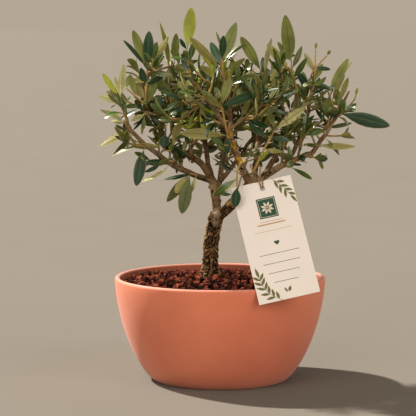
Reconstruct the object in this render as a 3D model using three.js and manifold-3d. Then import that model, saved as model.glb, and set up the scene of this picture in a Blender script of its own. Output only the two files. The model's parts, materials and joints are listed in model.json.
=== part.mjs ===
// An olive bonsai in a round terracotta bowl, with a card tag tied to one bough by twine.
// Millimetres, +Z up. The origin is the centre of the bowl's flat underside. The front is -Y,
// with +X to its right, and the card hangs at the front right, leaning on the bowl's lip.
import * as THREE from "three";
import { mergeVertices } from "three/addons/utils/BufferGeometryUtils.js";
import Module from "manifold-3d";

const wasm = await Module();
wasm.setup();

// Driving dimensions
const GAP = 0.3; // left between pieces that touch or pass through each other

const BOWL = {
  height: 98,
  mouthRadius: 100,
  footRadius: 62, // of the flat underside, which the side's curve sets off from
  curve: 1.7, // how early the side turns upright
  shoulder: 0.7, // how flat the side starts off
  wall: 5,
  floor: 6,
  cornerRound: 7, // inside, between floor and wall
  facets: 32,
  sideSteps: 7, // outside
  sideSpread: 1.8, // how much closer they are near the underside
  innerSteps: 4,
  lipSteps: 4,
  cornerSteps: 2,
};

const SOIL = {
  edgeHeight: 91.5, // at the bowl's wall
  crownHeight: 97.2, // the level top of the mound that the trunk stands in
  crownRadius: 24,
  topSteps: 4,
};

const LIMB_STEP = 13; // length of one straight stretch of a bough
const LIMB_SIDES = 7;

// A limb is an arc. It sets off at heading and rise (degrees, heading 0 is +X and 90 is +Y),
// and turns and lifts by as many degrees again over its length.
const TRUNK = {
  name: "trunk",
  start: [-9, 0, SOIL.crownHeight + GAP],
  heading: -26, rise: 94, turn: 0, lift: -22, length: 62,
  startRadius: 7, endRadius: 7.3, flare: 4, flareLength: 10,
  sides: 14, steps: 8, flatFoot: true,
};

const BOUGHS = [
  {
    name: "left_stem", start: [-3.4, -3.2, 158.6],
    heading: 140, rise: 92, turn: 0, lift: -22, length: 31, startRadius: 4.4, endRadius: 3.9,
  },
  {
    name: "right_stem", start: [-0.9, -4.5, 156.7],
    heading: -43, rise: 31, turn: 4, lift: 18, length: 51, startRadius: 5.5, endRadius: 4.6,
  },
  {
    name: "low_left_bough", start: [-7.5, 0, 188.7], endsIn: "low_left_foliage",
    heading: -160, rise: 16, turn: -6, lift: 31, length: 92, startRadius: 3.1, endRadius: 1.9,
  },
  {
    name: "mid_left_bough", start: [-7.5, 1, 190.5],
    heading: 153, rise: 58, turn: 23, lift: -46, length: 50, startRadius: 3.4, endRadius: 2.8,
  },
  {
    name: "mid_left_upper_bough", start: [-45.5, 11, 218.3], endsIn: "mid_left_foliage",
    heading: -167, rise: 55, turn: 39, lift: 15, length: 66, startRadius: 2.7, endRadius: 1.9,
  },
  {
    name: "back_left_bough", start: [-6.6, 3, 189.4], endsIn: "back_left_foliage",
    heading: 109, rise: 40, turn: -19, lift: 23, length: 79, startRadius: 2.7, endRadius: 2,
  },
  {
    name: "back_centre_bough", start: [-2.6, -1.5, 172], endsIn: "back_centre_foliage",
    heading: 64, rise: 72, turn: 42, lift: -34, length: 100, startRadius: 2.7, endRadius: 1.9,
  },
  {
    name: "middle_bough", start: [2, 3.5, 190], endsIn: "back_low_right_foliage",
    heading: 45, rise: 38, turn: 0, lift: 8, length: 45, startRadius: 2.3, endRadius: 1.7,
  },
  {
    name: "centre_bough", start: [26.8, -30, 190.2],
    heading: -145, rise: 61, turn: -7, lift: 6, length: 48.3, startRadius: 3.9, endRadius: 2.7,
  },
  {
    name: "centre_left_bough", start: [9, -41, 233.5], endsIn: "inner_left_foliage",
    heading: -152, rise: 62, turn: -23, lift: -10, length: 48, startRadius: 2.5, endRadius: 1.8,
  },
  {
    name: "centre_upper_bough", start: [9.5, -40, 233.5], endsIn: "top_centre_foliage",
    heading: 88, rise: 58, turn: 7, lift: 19, length: 50, startRadius: 2.6, endRadius: 1.9,
  },
  {
    name: "right_bough", start: [35.2, -29, 191.5],
    heading: 14, rise: 32, turn: 12, lift: -15, length: 58, startRadius: 3.4, endRadius: 2.4,
  },
  {
    name: "far_right_bough", start: [85.5, -12, 214.8], endsIn: "far_right_foliage",
    heading: 24, rise: 50, turn: -6, lift: 11, length: 58, startRadius: 2.4, endRadius: 1.7,
  },
  {
    name: "upper_right_bough", start: [61.7, -18, 207.1], endsIn: "right_upper_foliage",
    heading: 47, rise: 40, turn: 9, lift: 36, length: 75, startRadius: 2.4, endRadius: 1.8,
  },
  {
    name: "inner_bough", start: [31.5, -29, 191.1], endsIn: "right_centre_foliage",
    heading: 63, rise: 76, turn: 48, lift: -44, length: 83, startRadius: 3.2, endRadius: 2,
  },
  {
    name: "back_right_bough", start: [39, -26, 193.6], endsIn: "back_right_foliage",
    heading: 64, rise: 26, turn: 15, lift: 14, length: 92, startRadius: 3, endRadius: 2,
  },
];

// A mass of foliage is a lumpy ellipsoid about its centre. Each tip is the end of a leaf that
// stands out of it, and tips reach the crown's outline.
const FOLIAGE = [
  {
    name: "far_left_foliage", centre: [-96, -22, 268], radii: [17, 22, 24],
    tips: [[-109, -22, 291], [-90, -20, 299], [-113, -26, 270]],
  },
  {
    name: "low_left_foliage", centre: [-90, -22, 231], radii: [19, 22, 18],
    tips: [[-112, -22, 223], [-101, -24, 212]],
  },
  {
    name: "left_under_foliage", centre: [-62, -25, 212], radii: [20, 20, 15],
    tips: [[-77, -28, 188]],
  },
  {
    name: "top_left_foliage", centre: [-66, -15, 298], radii: [22, 26, 25],
    tips: [[-81, -15, 331], [-66, -18, 330], [-49, -12, 325]],
  },
  {
    name: "mid_left_foliage", centre: [-56, -5, 259], radii: [24, 30, 24],
    tips: [],
  },
  {
    name: "upper_left_foliage", centre: [-36, 0, 300], radii: [19, 26, 25],
    tips: [[-28, 0, 352], [-56, -2, 338]],
  },
  {
    name: "inner_left_foliage", centre: [-28, -18, 255], radii: [22, 28, 24],
    tips: [],
  },
  {
    name: "lower_left_foliage", centre: [-38, -15, 190], radii: [13, 16, 17],
    tips: [[-50, -18, 170], [-36, -15, 160]],
  },
  {
    name: "top_centre_foliage", centre: [2, -30, 292], radii: [21, 26, 32],
    tips: [[-4, -30, 330], [15, -28, 338]],
  },
  {
    name: "centre_front_foliage", centre: [-2, -64, 256], radii: [22, 18, 19],
    tips: [],
  },
  {
    name: "centre_low_foliage", centre: [6, -34, 200], radii: [11, 12, 16],
    tips: [[13, -36, 168], [-5, -34, 180]],
  },
  {
    name: "centre_right_foliage", centre: [33, -15, 289], radii: [19, 26, 28],
    tips: [[19, -15, 325]],
  },
  {
    name: "top_right_foliage", centre: [61, -5, 296], radii: [19, 26, 26],
    tips: [[60, -5, 345], [44, -8, 318]],
  },
  {
    name: "right_centre_foliage", centre: [39, -22, 250], radii: [23, 26, 23],
    tips: [],
  },
  {
    name: "right_upper_foliage", centre: [92, 5, 280], radii: [21, 26, 25],
    tips: [[90, 5, 316], [125, 5, 301]],
  },
  {
    name: "right_mid_foliage", centre: [74, -28, 242], radii: [22, 25, 22],
    tips: [],
  },
  {
    name: "far_right_foliage", centre: [117, 3, 256], radii: [16, 17, 18],
    tips: [[162, 3, 240], [132, 3, 273]],
  },
  {
    name: "right_low_foliage", centre: [92, -12, 222], radii: [16, 18, 12],
    tips: [[127, -12, 222], [85, -14, 196]],
  },
  {
    name: "back_left_foliage", centre: [-48, 52, 271], radii: [32, 28, 31],
    tips: [[-72, 64, 300]],
  },
  {
    name: "back_centre_foliage", centre: [0, 74, 277], radii: [33, 26, 33],
    tips: [[4, 88, 316]],
  },
  {
    name: "back_right_foliage", centre: [52, 58, 270], radii: [32, 28, 31],
    tips: [[80, 74, 298]],
  },
  {
    name: "back_low_left_foliage", centre: [-27, 50, 226], radii: [25, 23, 17],
    tips: [[-58, 58, 214]],
  },
  {
    name: "back_low_right_foliage", centre: [42, 40, 222], radii: [27, 22, 17],
    tips: [[84, 50, 212]],
  },
  {
    name: "front_left_foliage", centre: [-41, -58, 268], radii: [25, 20, 23],
    tips: [[-52, -84, 256]],
  },
  {
    name: "front_right_foliage", centre: [45, -58, 270], radii: [25, 20, 25],
    tips: [[56, -86, 262]],
  },
];
const LUMP_HEIGHT = 0.16; // of a mass's radius, at most
const SMALL_MASS = 20; // a mass whose mean radius is less is given fewer faces

const CARD = {
  hole: [38.78, -52, 185.77],
  lean: 25.75, // degrees that the top leans back
  roll: -13.79, // degrees that the card is tipped sideways
  yaw: -2.89,
  width: 56.3,
  height: 115.8,
  thickness: 0.6,
  holeToTop: 7.2,
  holeRadius: 2.2,
};

const TWINE = {
  radius: 0.65,
  alongBough: 15, // from the foot of the inner bough to the turn of twine round it
  spread: 0.9, // of each strand from the middle of the card, at its top edge
  facets: 5,
  steps: 46,
};

const MATERIALS = {
  clay: new THREE.MeshStandardMaterial({ color: 0xbe674a, roughness: 0.7, metalness: 0 }),
  soil: new THREE.MeshStandardMaterial({ color: 0x49241a, roughness: 0.95, metalness: 0 }),
  bark: new THREE.MeshStandardMaterial({ color: 0x6b5237, roughness: 0.9, metalness: 0 }),
  leaf: new THREE.MeshStandardMaterial({ color: 0x525f34, roughness: 0.5, metalness: 0 }),
  card: new THREE.MeshStandardMaterial({ color: 0xe3d1be, roughness: 0.85, metalness: 0 }),
  twine: new THREE.MeshStandardMaterial({ color: 0xb08d62, roughness: 0.9, metalness: 0 }),
};

const radians = THREE.MathUtils.degToRad;

// Solids and meshes
function closedGeometry(geometry) {
  const bare = geometry.clone();
  bare.deleteAttribute("normal");
  bare.deleteAttribute("uv");
  return mergeVertices(bare, 1e-4);
}

function solidOf(geometry) {
  const closed = closedGeometry(geometry);
  return new wasm.Manifold(
    new wasm.Mesh({
      numProp: 3,
      vertProperties: closed.attributes.position.array,
      triVerts: new Uint32Array(closed.index.array),
    }),
  );
}

function meshOf(name, solid, material) {
  const { vertProperties, triVerts } = solid.getMesh();
  const indexed = new THREE.BufferGeometry();
  indexed.setAttribute("position", new THREE.BufferAttribute(vertProperties, 3));
  indexed.setIndex(new THREE.BufferAttribute(triVerts, 1));
  const geometry = indexed.toNonIndexed();
  geometry.computeVertexNormals();
  const mesh = new THREE.Mesh(geometry, material);
  mesh.name = name;
  return mesh;
}

function largestPiece(solid) {
  const pieces = solid.decompose();
  return pieces.reduce((best, piece) => (piece.volume() > best.volume() ? piece : best));
}

function distanceToSolid(solid, point) {
  const { vertProperties } = solid.getMesh();
  let nearest = Infinity;
  for (let i = 0; i < vertProperties.length; i += 3) {
    const vertex = new THREE.Vector3().fromArray(vertProperties, i);
    nearest = Math.min(nearest, vertex.distanceTo(point));
  }
  return nearest;
}

function pieceNearest(solid, point) {
  const pieces = solid.decompose();
  return pieces.reduce((best, piece) =>
    distanceToSolid(piece, point) < distanceToSolid(best, point) ? piece : best,
  );
}

// Bowl: a lathed shell with a rounded lip and a flat underside
function bowlRadius(z) {
  const upright = 1 - Math.pow(1 - z / BOWL.height, BOWL.curve);
  return BOWL.footRadius + (BOWL.mouthRadius - BOWL.footRadius) * Math.pow(upright, BOWL.shoulder);
}

function bowlInnerRadius(z) {
  const step = 0.5;
  const slope = (bowlRadius(z) - bowlRadius(z - step)) / step;
  return bowlRadius(z) - BOWL.wall * Math.hypot(1, slope);
}

// Heights at which the bowl's inner side and the soil's side both have a point
function innerSideHeights() {
  const lowest = BOWL.floor + BOWL.cornerRound;
  return Array.from({ length: BOWL.innerSteps }, (_, i) =>
    lowest + ((SOIL.edgeHeight - lowest) * (i + 1)) / BOWL.innerSteps,
  );
}

function arcPoints(centre, radius, fromDegrees, toDegrees, count) {
  const points = [];
  for (let i = 0; i <= count; i++) {
    const angle = radians(fromDegrees + ((toDegrees - fromDegrees) * i) / count);
    points.push(new THREE.Vector2(
      centre[0] + radius * Math.cos(angle),
      centre[1] + radius * Math.sin(angle),
    ));
  }
  return points;
}

function lathe(profile) {
  return new THREE.LatheGeometry(profile, BOWL.facets).rotateX(Math.PI / 2);
}

function makeBowl() {
  const { height, wall, floor, cornerRound, sideSteps, sideSpread, lipSteps, cornerSteps } = BOWL;
  const lipRound = wall / 2;
  const lipHeight = height - lipRound;
  const lipCentre = [bowlRadius(lipHeight) - lipRound, lipHeight];
  const profile = [new THREE.Vector2(0, 0)];
  for (let i = 0; i < sideSteps; i++) {
    const z = lipHeight * Math.pow(i / sideSteps, sideSpread);
    profile.push(new THREE.Vector2(bowlRadius(z), z));
  }
  profile.push(...arcPoints(lipCentre, lipRound, 0, 180, lipSteps));
  const cornerHeight = floor + cornerRound;
  for (const z of innerSideHeights().reverse()) {
    profile.push(new THREE.Vector2(bowlInnerRadius(z), z));
  }
  const cornerCentre = [bowlInnerRadius(cornerHeight) - cornerRound, cornerHeight];
  profile.push(...arcPoints(cornerCentre, cornerRound, 0, -90, cornerSteps));
  profile.push(new THREE.Vector2(0, floor));
  return solidOf(lathe(profile));
}

// Soil: it fills the bowl, a gap clear of it, and mounds up to a level crown at the trunk
function soilHeight(radius, edgeRadius) {
  const inward = (edgeRadius - radius) / (edgeRadius - SOIL.crownRadius);
  const rise = THREE.MathUtils.smoothstep(inward, 0, 1);
  return SOIL.edgeHeight + (SOIL.crownHeight - SOIL.edgeHeight) * rise;
}

function makeSoil() {
  const bottom = BOWL.floor + GAP;
  const cornerHeight = BOWL.floor + BOWL.cornerRound;
  const cornerRound = BOWL.cornerRound - GAP;
  const cornerCentre = [bowlInnerRadius(cornerHeight) - BOWL.cornerRound, cornerHeight];
  const clearance = GAP * 1.4; // measured level, where the wall slopes
  const profile = [new THREE.Vector2(0, bottom)];
  profile.push(...arcPoints(cornerCentre, cornerRound, -90, 0, BOWL.cornerSteps));
  for (const z of innerSideHeights()) {
    profile.push(new THREE.Vector2(bowlInnerRadius(z) - clearance, z));
  }
  const edgeRadius = bowlInnerRadius(SOIL.edgeHeight) - clearance;
  for (let i = 1; i <= SOIL.topSteps; i++) {
    const radius = edgeRadius + ((SOIL.crownRadius - edgeRadius) * i) / SOIL.topSteps;
    profile.push(new THREE.Vector2(radius, soilHeight(radius, edgeRadius)));
  }
  profile.push(new THREE.Vector2(0, SOIL.crownHeight));
  return solidOf(lathe(profile));
}

// Trunk and boughs
function limbCurve({ start, heading, rise, turn, lift, length }, steps) {
  const points = [new THREE.Vector3(...start)];
  for (let i = 0; i < steps; i++) {
    const part = (i + 0.5) / steps;
    const level = radians(heading + turn * part);
    const up = radians(rise + lift * part);
    const ahead = new THREE.Vector3(
      Math.cos(up) * Math.cos(level),
      Math.cos(up) * Math.sin(level),
      Math.sin(up),
    );
    points.push(points[i].clone().addScaledVector(ahead, length / steps));
  }
  return new THREE.CatmullRomCurve3(points);
}

function limbRadius({ startRadius, endRadius, flare = 0, flareLength = 1, length }, part) {
  const taper = startRadius + (endRadius - startRadius) * part;
  return taper + flare * Math.exp((-part * length) / flareLength);
}

// A cylinder bent along the limb's curve. grow makes it thicker all over, as a cutter.
function limbSolid(limb, grow = 0) {
  const steps = limb.steps ?? Math.round(limb.length / LIMB_STEP);
  const sides = limb.sides ?? LIMB_SIDES;
  const curve = limbCurve(limb, steps);
  const frames = curve.computeFrenetFrames(steps, false);
  const geometry = closedGeometry(new THREE.CylinderGeometry(1, 1, 1, sides, steps));
  const position = geometry.attributes.position;
  for (let i = 0; i < position.count; i++) {
    const part = position.getY(i) + 0.5;
    const ring = Math.round(part * steps);
    const radius = limbRadius(limb, part) + grow;
    const point = curve.getPoint(ring / steps);
    const across = position.getX(i) * radius;
    const aside = position.getZ(i) * radius;
    if (ring === 0) point.addScaledVector(frames.tangents[0], -grow);
    if (ring === steps) point.addScaledVector(frames.tangents[steps], grow);
    point.addScaledVector(frames.normals[ring], across);
    point.addScaledVector(frames.binormals[ring], -aside);
    if (limb.flatFoot && ring === 0) point.z = limb.start[2] - grow;
    position.setXYZ(i, point.x, point.y, point.z);
  }
  return solidOf(geometry);
}

// Foliage masses
function lumps(direction, seed) {
  const waves = [[2.1, 1.7, 2.9], [3.7, 3.1, 1.3], [1.1, 4.3, 3.3]];
  let height = 0;
  waves.forEach(([a, b, c], i) => {
    const phase = seed * 2.4 + i * 1.9;
    height += Math.sin(a * direction.x + b * direction.y + c * direction.z + phase);
  });
  return (LUMP_HEIGHT * height) / waves.length;
}

function foliageSolid(mass, grow = 0) {
  const centre = new THREE.Vector3(...mass.centre);
  const radii = new THREE.Vector3(...mass.radii);
  const detail = (radii.x + radii.y + radii.z) / 3 < SMALL_MASS ? 1 : 2;
  const geometry = closedGeometry(new THREE.IcosahedronGeometry(1, detail));
  const position = geometry.attributes.position;
  const seed = FOLIAGE.indexOf(mass);
  const directions = [];
  for (let i = 0; i < position.count; i++) {
    const direction = new THREE.Vector3().fromBufferAttribute(position, i);
    directions.push(direction.clone());
    const scale = 1 + lumps(direction, seed);
    const point = direction.clone().multiply(radii).multiplyScalar(scale);
    point.addScaledVector(direction, grow).add(centre);
    position.setXYZ(i, point.x, point.y, point.z);
  }
  for (const tip of mass.tips) {
    const reach = new THREE.Vector3(...tip).sub(centre);
    const toTip = reach.clone().divide(radii).normalize();
    let nearest = 0;
    directions.forEach((direction, i) => {
      if (direction.dot(toTip) > directions[nearest].dot(toTip)) nearest = i;
    });
    const end = reach.setLength(reach.length() + grow).add(centre);
    position.setXYZ(nearest, end.x, end.y, end.z);
  }
  return solidOf(geometry);
}

// The radius of a mass's ellipsoid along a direction
function radiusAlong(mass, direction) {
  const [x, y, z] = mass.radii;
  return 1 / Math.hypot(direction.x / x, direction.y / y, direction.z / z);
}

// Everything on the far side of a plane
function halfSpace(point, normal) {
  const size = 400; // longer than the whole plant
  const turn = new THREE.Quaternion().setFromUnitVectors(new THREE.Vector3(0, 0, 1), normal);
  const middle = point.clone().addScaledVector(normal, size / 2);
  const box = new THREE.BoxGeometry(size, size, size);
  box.applyQuaternion(turn);
  box.translate(middle.x, middle.y, middle.z);
  return solidOf(box);
}

// Two masses that meet share a flat face between them, a gap apart. grow moves the face outwards.
function cutFromNeighbour(solid, mass, neighbour, grow) {
  const centre = new THREE.Vector3(...mass.centre);
  const across = new THREE.Vector3(...neighbour.centre).sub(centre);
  const distance = across.length();
  across.normalize();
  const own = radiusAlong(mass, across);
  const other = radiusAlong(neighbour, across);
  const face = (distance * own) / (own + other) - GAP / 2 + grow;
  return solid.subtract(halfSpace(centre.addScaledVector(across, face), across));
}

const rawFoliage = new Map(FOLIAGE.map((mass) => [mass.name, foliageSolid(mass, GAP)]));

function touches(solid, other) {
  return solid.intersect(other).volume() > 0.001;
}

function shapedFoliage(mass, grow) {
  let solid = foliageSolid(mass, grow);
  for (const neighbour of FOLIAGE) {
    if (neighbour === mass) continue;
    if (!touches(rawFoliage.get(mass.name), rawFoliage.get(neighbour.name))) continue;
    solid = cutFromNeighbour(solid, mass, neighbour, grow);
  }
  return solid;
}

// Card: a thin upright plate with one hole, drawn about the hole and then tipped into place
function cardTurn() {
  return new THREE.Euler(radians(-CARD.lean), radians(CARD.roll), radians(CARD.yaw), "ZXY");
}

function onCard(x, y, z) {
  return new THREE.Vector3(x, y, z).applyEuler(cardTurn()).add(new THREE.Vector3(...CARD.hole));
}

function makeCard() {
  const outline = new THREE.Shape();
  outline.moveTo(-CARD.width / 2, CARD.holeToTop - CARD.height);
  outline.lineTo(CARD.width / 2, CARD.holeToTop - CARD.height);
  outline.lineTo(CARD.width / 2, CARD.holeToTop);
  outline.lineTo(-CARD.width / 2, CARD.holeToTop);
  outline.closePath();
  const hole = new THREE.Path();
  hole.absarc(0, 0, CARD.holeRadius, 0, Math.PI * 2, true);
  outline.holes.push(hole);
  const plate = new THREE.ExtrudeGeometry(outline, {
    depth: CARD.thickness,
    bevelEnabled: false,
    curveSegments: 8,
  });
  plate.rotateX(Math.PI / 2);
  const mesh = new THREE.Mesh(plate, MATERIALS.card);
  mesh.name = "card_tag";
  mesh.position.set(...CARD.hole);
  mesh.rotation.copy(cardTurn());
  return mesh;
}

// Twine: one closed loop, through the card's hole and round the inner bough
function twineRoute() {
  const { radius, alongBough, spread } = TWINE;
  const bough = BOUGHS.find((limb) => limb.name === "inner_bough");
  const part = alongBough / bough.length;
  const curve = limbCurve(bough, 24);
  const middle = curve.getPoint(part);
  const ringRadius = limbRadius(bough, part) + GAP + radius + 0.45;
  const front = -CARD.thickness - GAP - radius - 0.15;
  const back = GAP + radius + 0.15;
  const inHole = CARD.holeRadius - GAP - radius - 0.2;
  const overTop = CARD.holeToTop + GAP + radius + 0.3;
  const along = curve.getTangent(part);
  const aside = new THREE.Vector3(1, 0, 0).projectOnPlane(along).normalize();
  const behind = along.clone().cross(aside);
  const around = (x, y, up) =>
    middle.clone()
      .addScaledVector(aside, x * ringRadius)
      .addScaledVector(behind, y * ringRadius)
      .addScaledVector(along, up);
  return new THREE.CatmullRomCurve3(
    [
      onCard(0, -CARD.thickness / 2, inHole),
      onCard(-spread / 4, front + 0.2, inHole + 0.3),
      onCard(-spread / 2, front - 0.2, CARD.holeRadius + 1),
      onCard(-spread, front, CARD.holeToTop),
      onCard(-spread - 0.2, front + 0.9, overTop + 0.6),
      around(-1.1, -1, -4),
      around(-1.05, 0, -0.8),
      around(0, 1.1, 0.6),
      around(1.05, 0, -0.8),
      around(1.1, -1, -4),
      onCard(spread + 0.2, back + 0.4, overTop),
      onCard(spread / 2, back + 0.2, CARD.holeRadius + 1),
      onCard(spread / 4, back - 0.2, inHole + 0.3),
    ],
    true,
    "centripetal",
  );
}

function makeTwine() {
  const { radius, facets, steps } = TWINE;
  const route = twineRoute();
  const frames = route.computeFrenetFrames(steps, true);
  const geometry = closedGeometry(new THREE.TorusGeometry(2, 1, facets, steps));
  const position = geometry.attributes.position;
  for (let i = 0; i < position.count; i++) {
    const x = position.getX(i);
    const y = position.getY(i);
    const turn = (Math.atan2(y, x) / (2 * Math.PI) + 1) % 1;
    const ring = Math.round(turn * steps) % steps;
    const point = route.getPointAt(ring / steps);
    point.addScaledVector(frames.normals[ring], (Math.hypot(x, y) - 2) * radius);
    point.addScaledVector(frames.binormals[ring], -position.getZ(i) * radius);
    position.setXYZ(i, point.x, point.y, point.z);
  }
  return solidOf(geometry);
}

// Assembly. A bough ends where it enters its mass, a later limb stops short of an earlier one,
// and the foliage is cut clear of every limb that passes through it.
const bonsai = new THREE.Group();
bonsai.add(meshOf("bowl", makeBowl(), MATERIALS.clay));
bonsai.add(meshOf("soil", makeSoil(), MATERIALS.soil));

const limbCutters = [];
for (const limb of [TRUNK, ...BOUGHS]) {
  const start = new THREE.Vector3(...limb.start);
  let solid = limbSolid(limb);
  let cutter = limbSolid(limb, GAP);
  if (limb.endsIn) {
    const mass = FOLIAGE.find((foliage) => foliage.name === limb.endsIn);
    solid = pieceNearest(solid.subtract(shapedFoliage(mass, GAP)), start);
    cutter = pieceNearest(cutter.subtract(shapedFoliage(mass, 0)), start);
  }
  for (const earlier of limbCutters) solid = solid.subtract(earlier);
  limbCutters.push(cutter);
  bonsai.add(meshOf(limb.name, largestPiece(solid), MATERIALS.bark));
}

for (const mass of FOLIAGE) {
  let solid = shapedFoliage(mass, 0);
  for (const cutter of limbCutters) solid = solid.subtract(cutter);
  bonsai.add(meshOf(mass.name, largestPiece(solid), MATERIALS.leaf));
}

bonsai.add(makeCard());
bonsai.add(meshOf("twine", makeTwine(), MATERIALS.twine));

export default bonsai;
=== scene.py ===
"""An olive bonsai in a round clay bowl, with a blank gift card tied on by twine.

Metres, +Z up. The origin is the middle of the bowl's flat underside. The front is -Y, with +X to its
right. Places along limbs, shoots and leaves are written in millimetres and are scaled by MM.
"""

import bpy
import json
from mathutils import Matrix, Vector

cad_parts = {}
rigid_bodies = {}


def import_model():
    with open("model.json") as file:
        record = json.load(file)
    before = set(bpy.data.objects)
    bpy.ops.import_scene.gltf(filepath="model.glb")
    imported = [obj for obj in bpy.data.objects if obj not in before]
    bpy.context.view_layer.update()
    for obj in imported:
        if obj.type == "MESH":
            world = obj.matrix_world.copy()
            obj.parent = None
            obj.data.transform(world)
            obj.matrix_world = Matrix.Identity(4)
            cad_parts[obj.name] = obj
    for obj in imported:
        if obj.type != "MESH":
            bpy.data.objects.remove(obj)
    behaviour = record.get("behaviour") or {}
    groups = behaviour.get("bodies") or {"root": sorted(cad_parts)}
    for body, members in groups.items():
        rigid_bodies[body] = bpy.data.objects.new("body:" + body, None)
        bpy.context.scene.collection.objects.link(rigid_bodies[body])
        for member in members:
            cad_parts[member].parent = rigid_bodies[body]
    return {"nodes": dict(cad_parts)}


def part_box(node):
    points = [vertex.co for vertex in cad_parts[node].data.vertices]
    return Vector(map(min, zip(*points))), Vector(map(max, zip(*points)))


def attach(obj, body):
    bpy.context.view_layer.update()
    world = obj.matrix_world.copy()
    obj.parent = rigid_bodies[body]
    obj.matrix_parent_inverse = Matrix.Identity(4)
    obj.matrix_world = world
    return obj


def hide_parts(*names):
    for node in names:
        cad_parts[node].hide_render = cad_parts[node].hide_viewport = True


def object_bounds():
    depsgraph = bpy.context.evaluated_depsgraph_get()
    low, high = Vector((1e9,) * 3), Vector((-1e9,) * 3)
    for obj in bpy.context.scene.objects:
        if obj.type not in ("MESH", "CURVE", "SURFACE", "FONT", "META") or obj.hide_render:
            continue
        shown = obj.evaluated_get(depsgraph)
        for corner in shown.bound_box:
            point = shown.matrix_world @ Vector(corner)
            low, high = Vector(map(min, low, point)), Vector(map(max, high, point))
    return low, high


bl_info = {
    "name": "Olive Bonsai",
    "version": (1, 0, 0),
    "blender": (4, 5, 0),
    "location": "View3D > Sidebar > Olive Bonsai",
    "description": "Builds a potted olive bonsai: bark, twigs, leaves, soil, bowl, card and twine",
    "category": "Add Mesh",
}

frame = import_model()
CAD_BOX = [list(corner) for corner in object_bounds()]

import functools
import json
from collections import namedtuple
from math import acos, atan2, ceil, cos, exp, hypot, inf, log, pi, radians, sin, sqrt, tan

import bmesh
import bpy
import numpy as np
from bpy.props import FloatProperty, FloatVectorProperty, IntProperty, PointerProperty
from bpy.types import NodeSocket, Operator, Panel, PropertyGroup, Scene
from mathutils import Euler, Matrix, Vector, noise
from mathutils.bvhtree import BVHTree
from mathutils.kdtree import KDTree
from numpy.linalg import norm

MM = 0.001
UP = np.array((0.0, 0.0, 1.0))
FOLIAGE_NODES = sorted(name for name in frame["nodes"] if name.endswith("_foliage"))

# Where noise_vector starts. Without it the clock would decide, and no two plants would be alike.
noise.seed_set(4)

# The view that the plant was studied in
CAMERA_PLACE = (-0.01132, -1.8, 0.3382)
CAMERA_PITCH = 5.56  # degrees down
CAMERA_LENS = 165.1  # mm on a 36 mm wide sensor

# The bowl's side: its radius rises from foot to mouth on this curve
SIDE_CURVE = 1.7
SIDE_SHOULDER = 0.7
SIDE_SPREAD = 1.8  # crowds the rings of faces towards the foot, where the side turns most
CORNER_ROUND = 0.007
SIDE_RINGS = 34
BOWL_SIDES = 160

# Painted shade inside the bowl: how far below the lip it starts, and how much of each colour it leaves
UNSHADED_LIP = 0.001
INSIDE_SHADE_TONE = (0.49, 0.41, 0.33)

# The soil: heights at the wall and at the mound's top, and those where its side follows the clay
SOIL_EDGE = 0.0915
SOIL_CROWN = 0.0972
SOIL_CROWN_RADIUS = 0.024
SOIL_SIDE = (0.06, 0.08)
SOIL_ROOM = 0.0004  # between the soil and the clay
SOIL_RINGS = 42
SOIL_SIDES = 128

# Layers of clods: how many, how big beside a middling clod and how unlike each other, how far down in
# millimetres, how close, and the shares that are dry, damp and dark
# The dark clods are near black: painted shade in the gaps, and the layer below is all dark for that
Layer = namedtuple("Layer", "name subdivisions count size spread depth room tints")
CLOD_LAYERS = (
    Layer("soil_clods", 2, 700, 1.2, 0.34, 0.8, 0.88, (0.72, 0.28, 0)),
    Layer("soil_clods_below", 2, 500, 1.1, 0.3, 4.6, 0.7, (0, 0, 1)),
    Layer("soil_crumbs", 1, 1500, 0.42, 0.35, 1.2, 0.6, (0.4, 0.4, 0.2)),
)
CLOD_SHAPES = 6
CLOD_TRIES = 40
CLOD_ROOM = 0.0012  # between the furthest clod's middle and the clay
CLOD_STRETCH = ((0.9, 1.5), (0.7, 1.1), (0.5, 0.9))  # ranges of length, width and height
# The soil darkens the lower it lies: partly damp, partly painted shade in the hollows
DRY_AND_LIT_TOP = (-0.4 * MM, 2.7 * MM)  # heights over the mound from darkest to lightest

# Limbs. Each is an arc that sets off at heading and rise, in degrees, and turns and lifts by as many
# degrees again over its length. bare is the share of its length that grows no twigs, and open_end
# says that it ends in foliage.
Limb = namedtuple("Limb", "name start heading rise turn lift length thick thin bare open_end")

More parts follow.
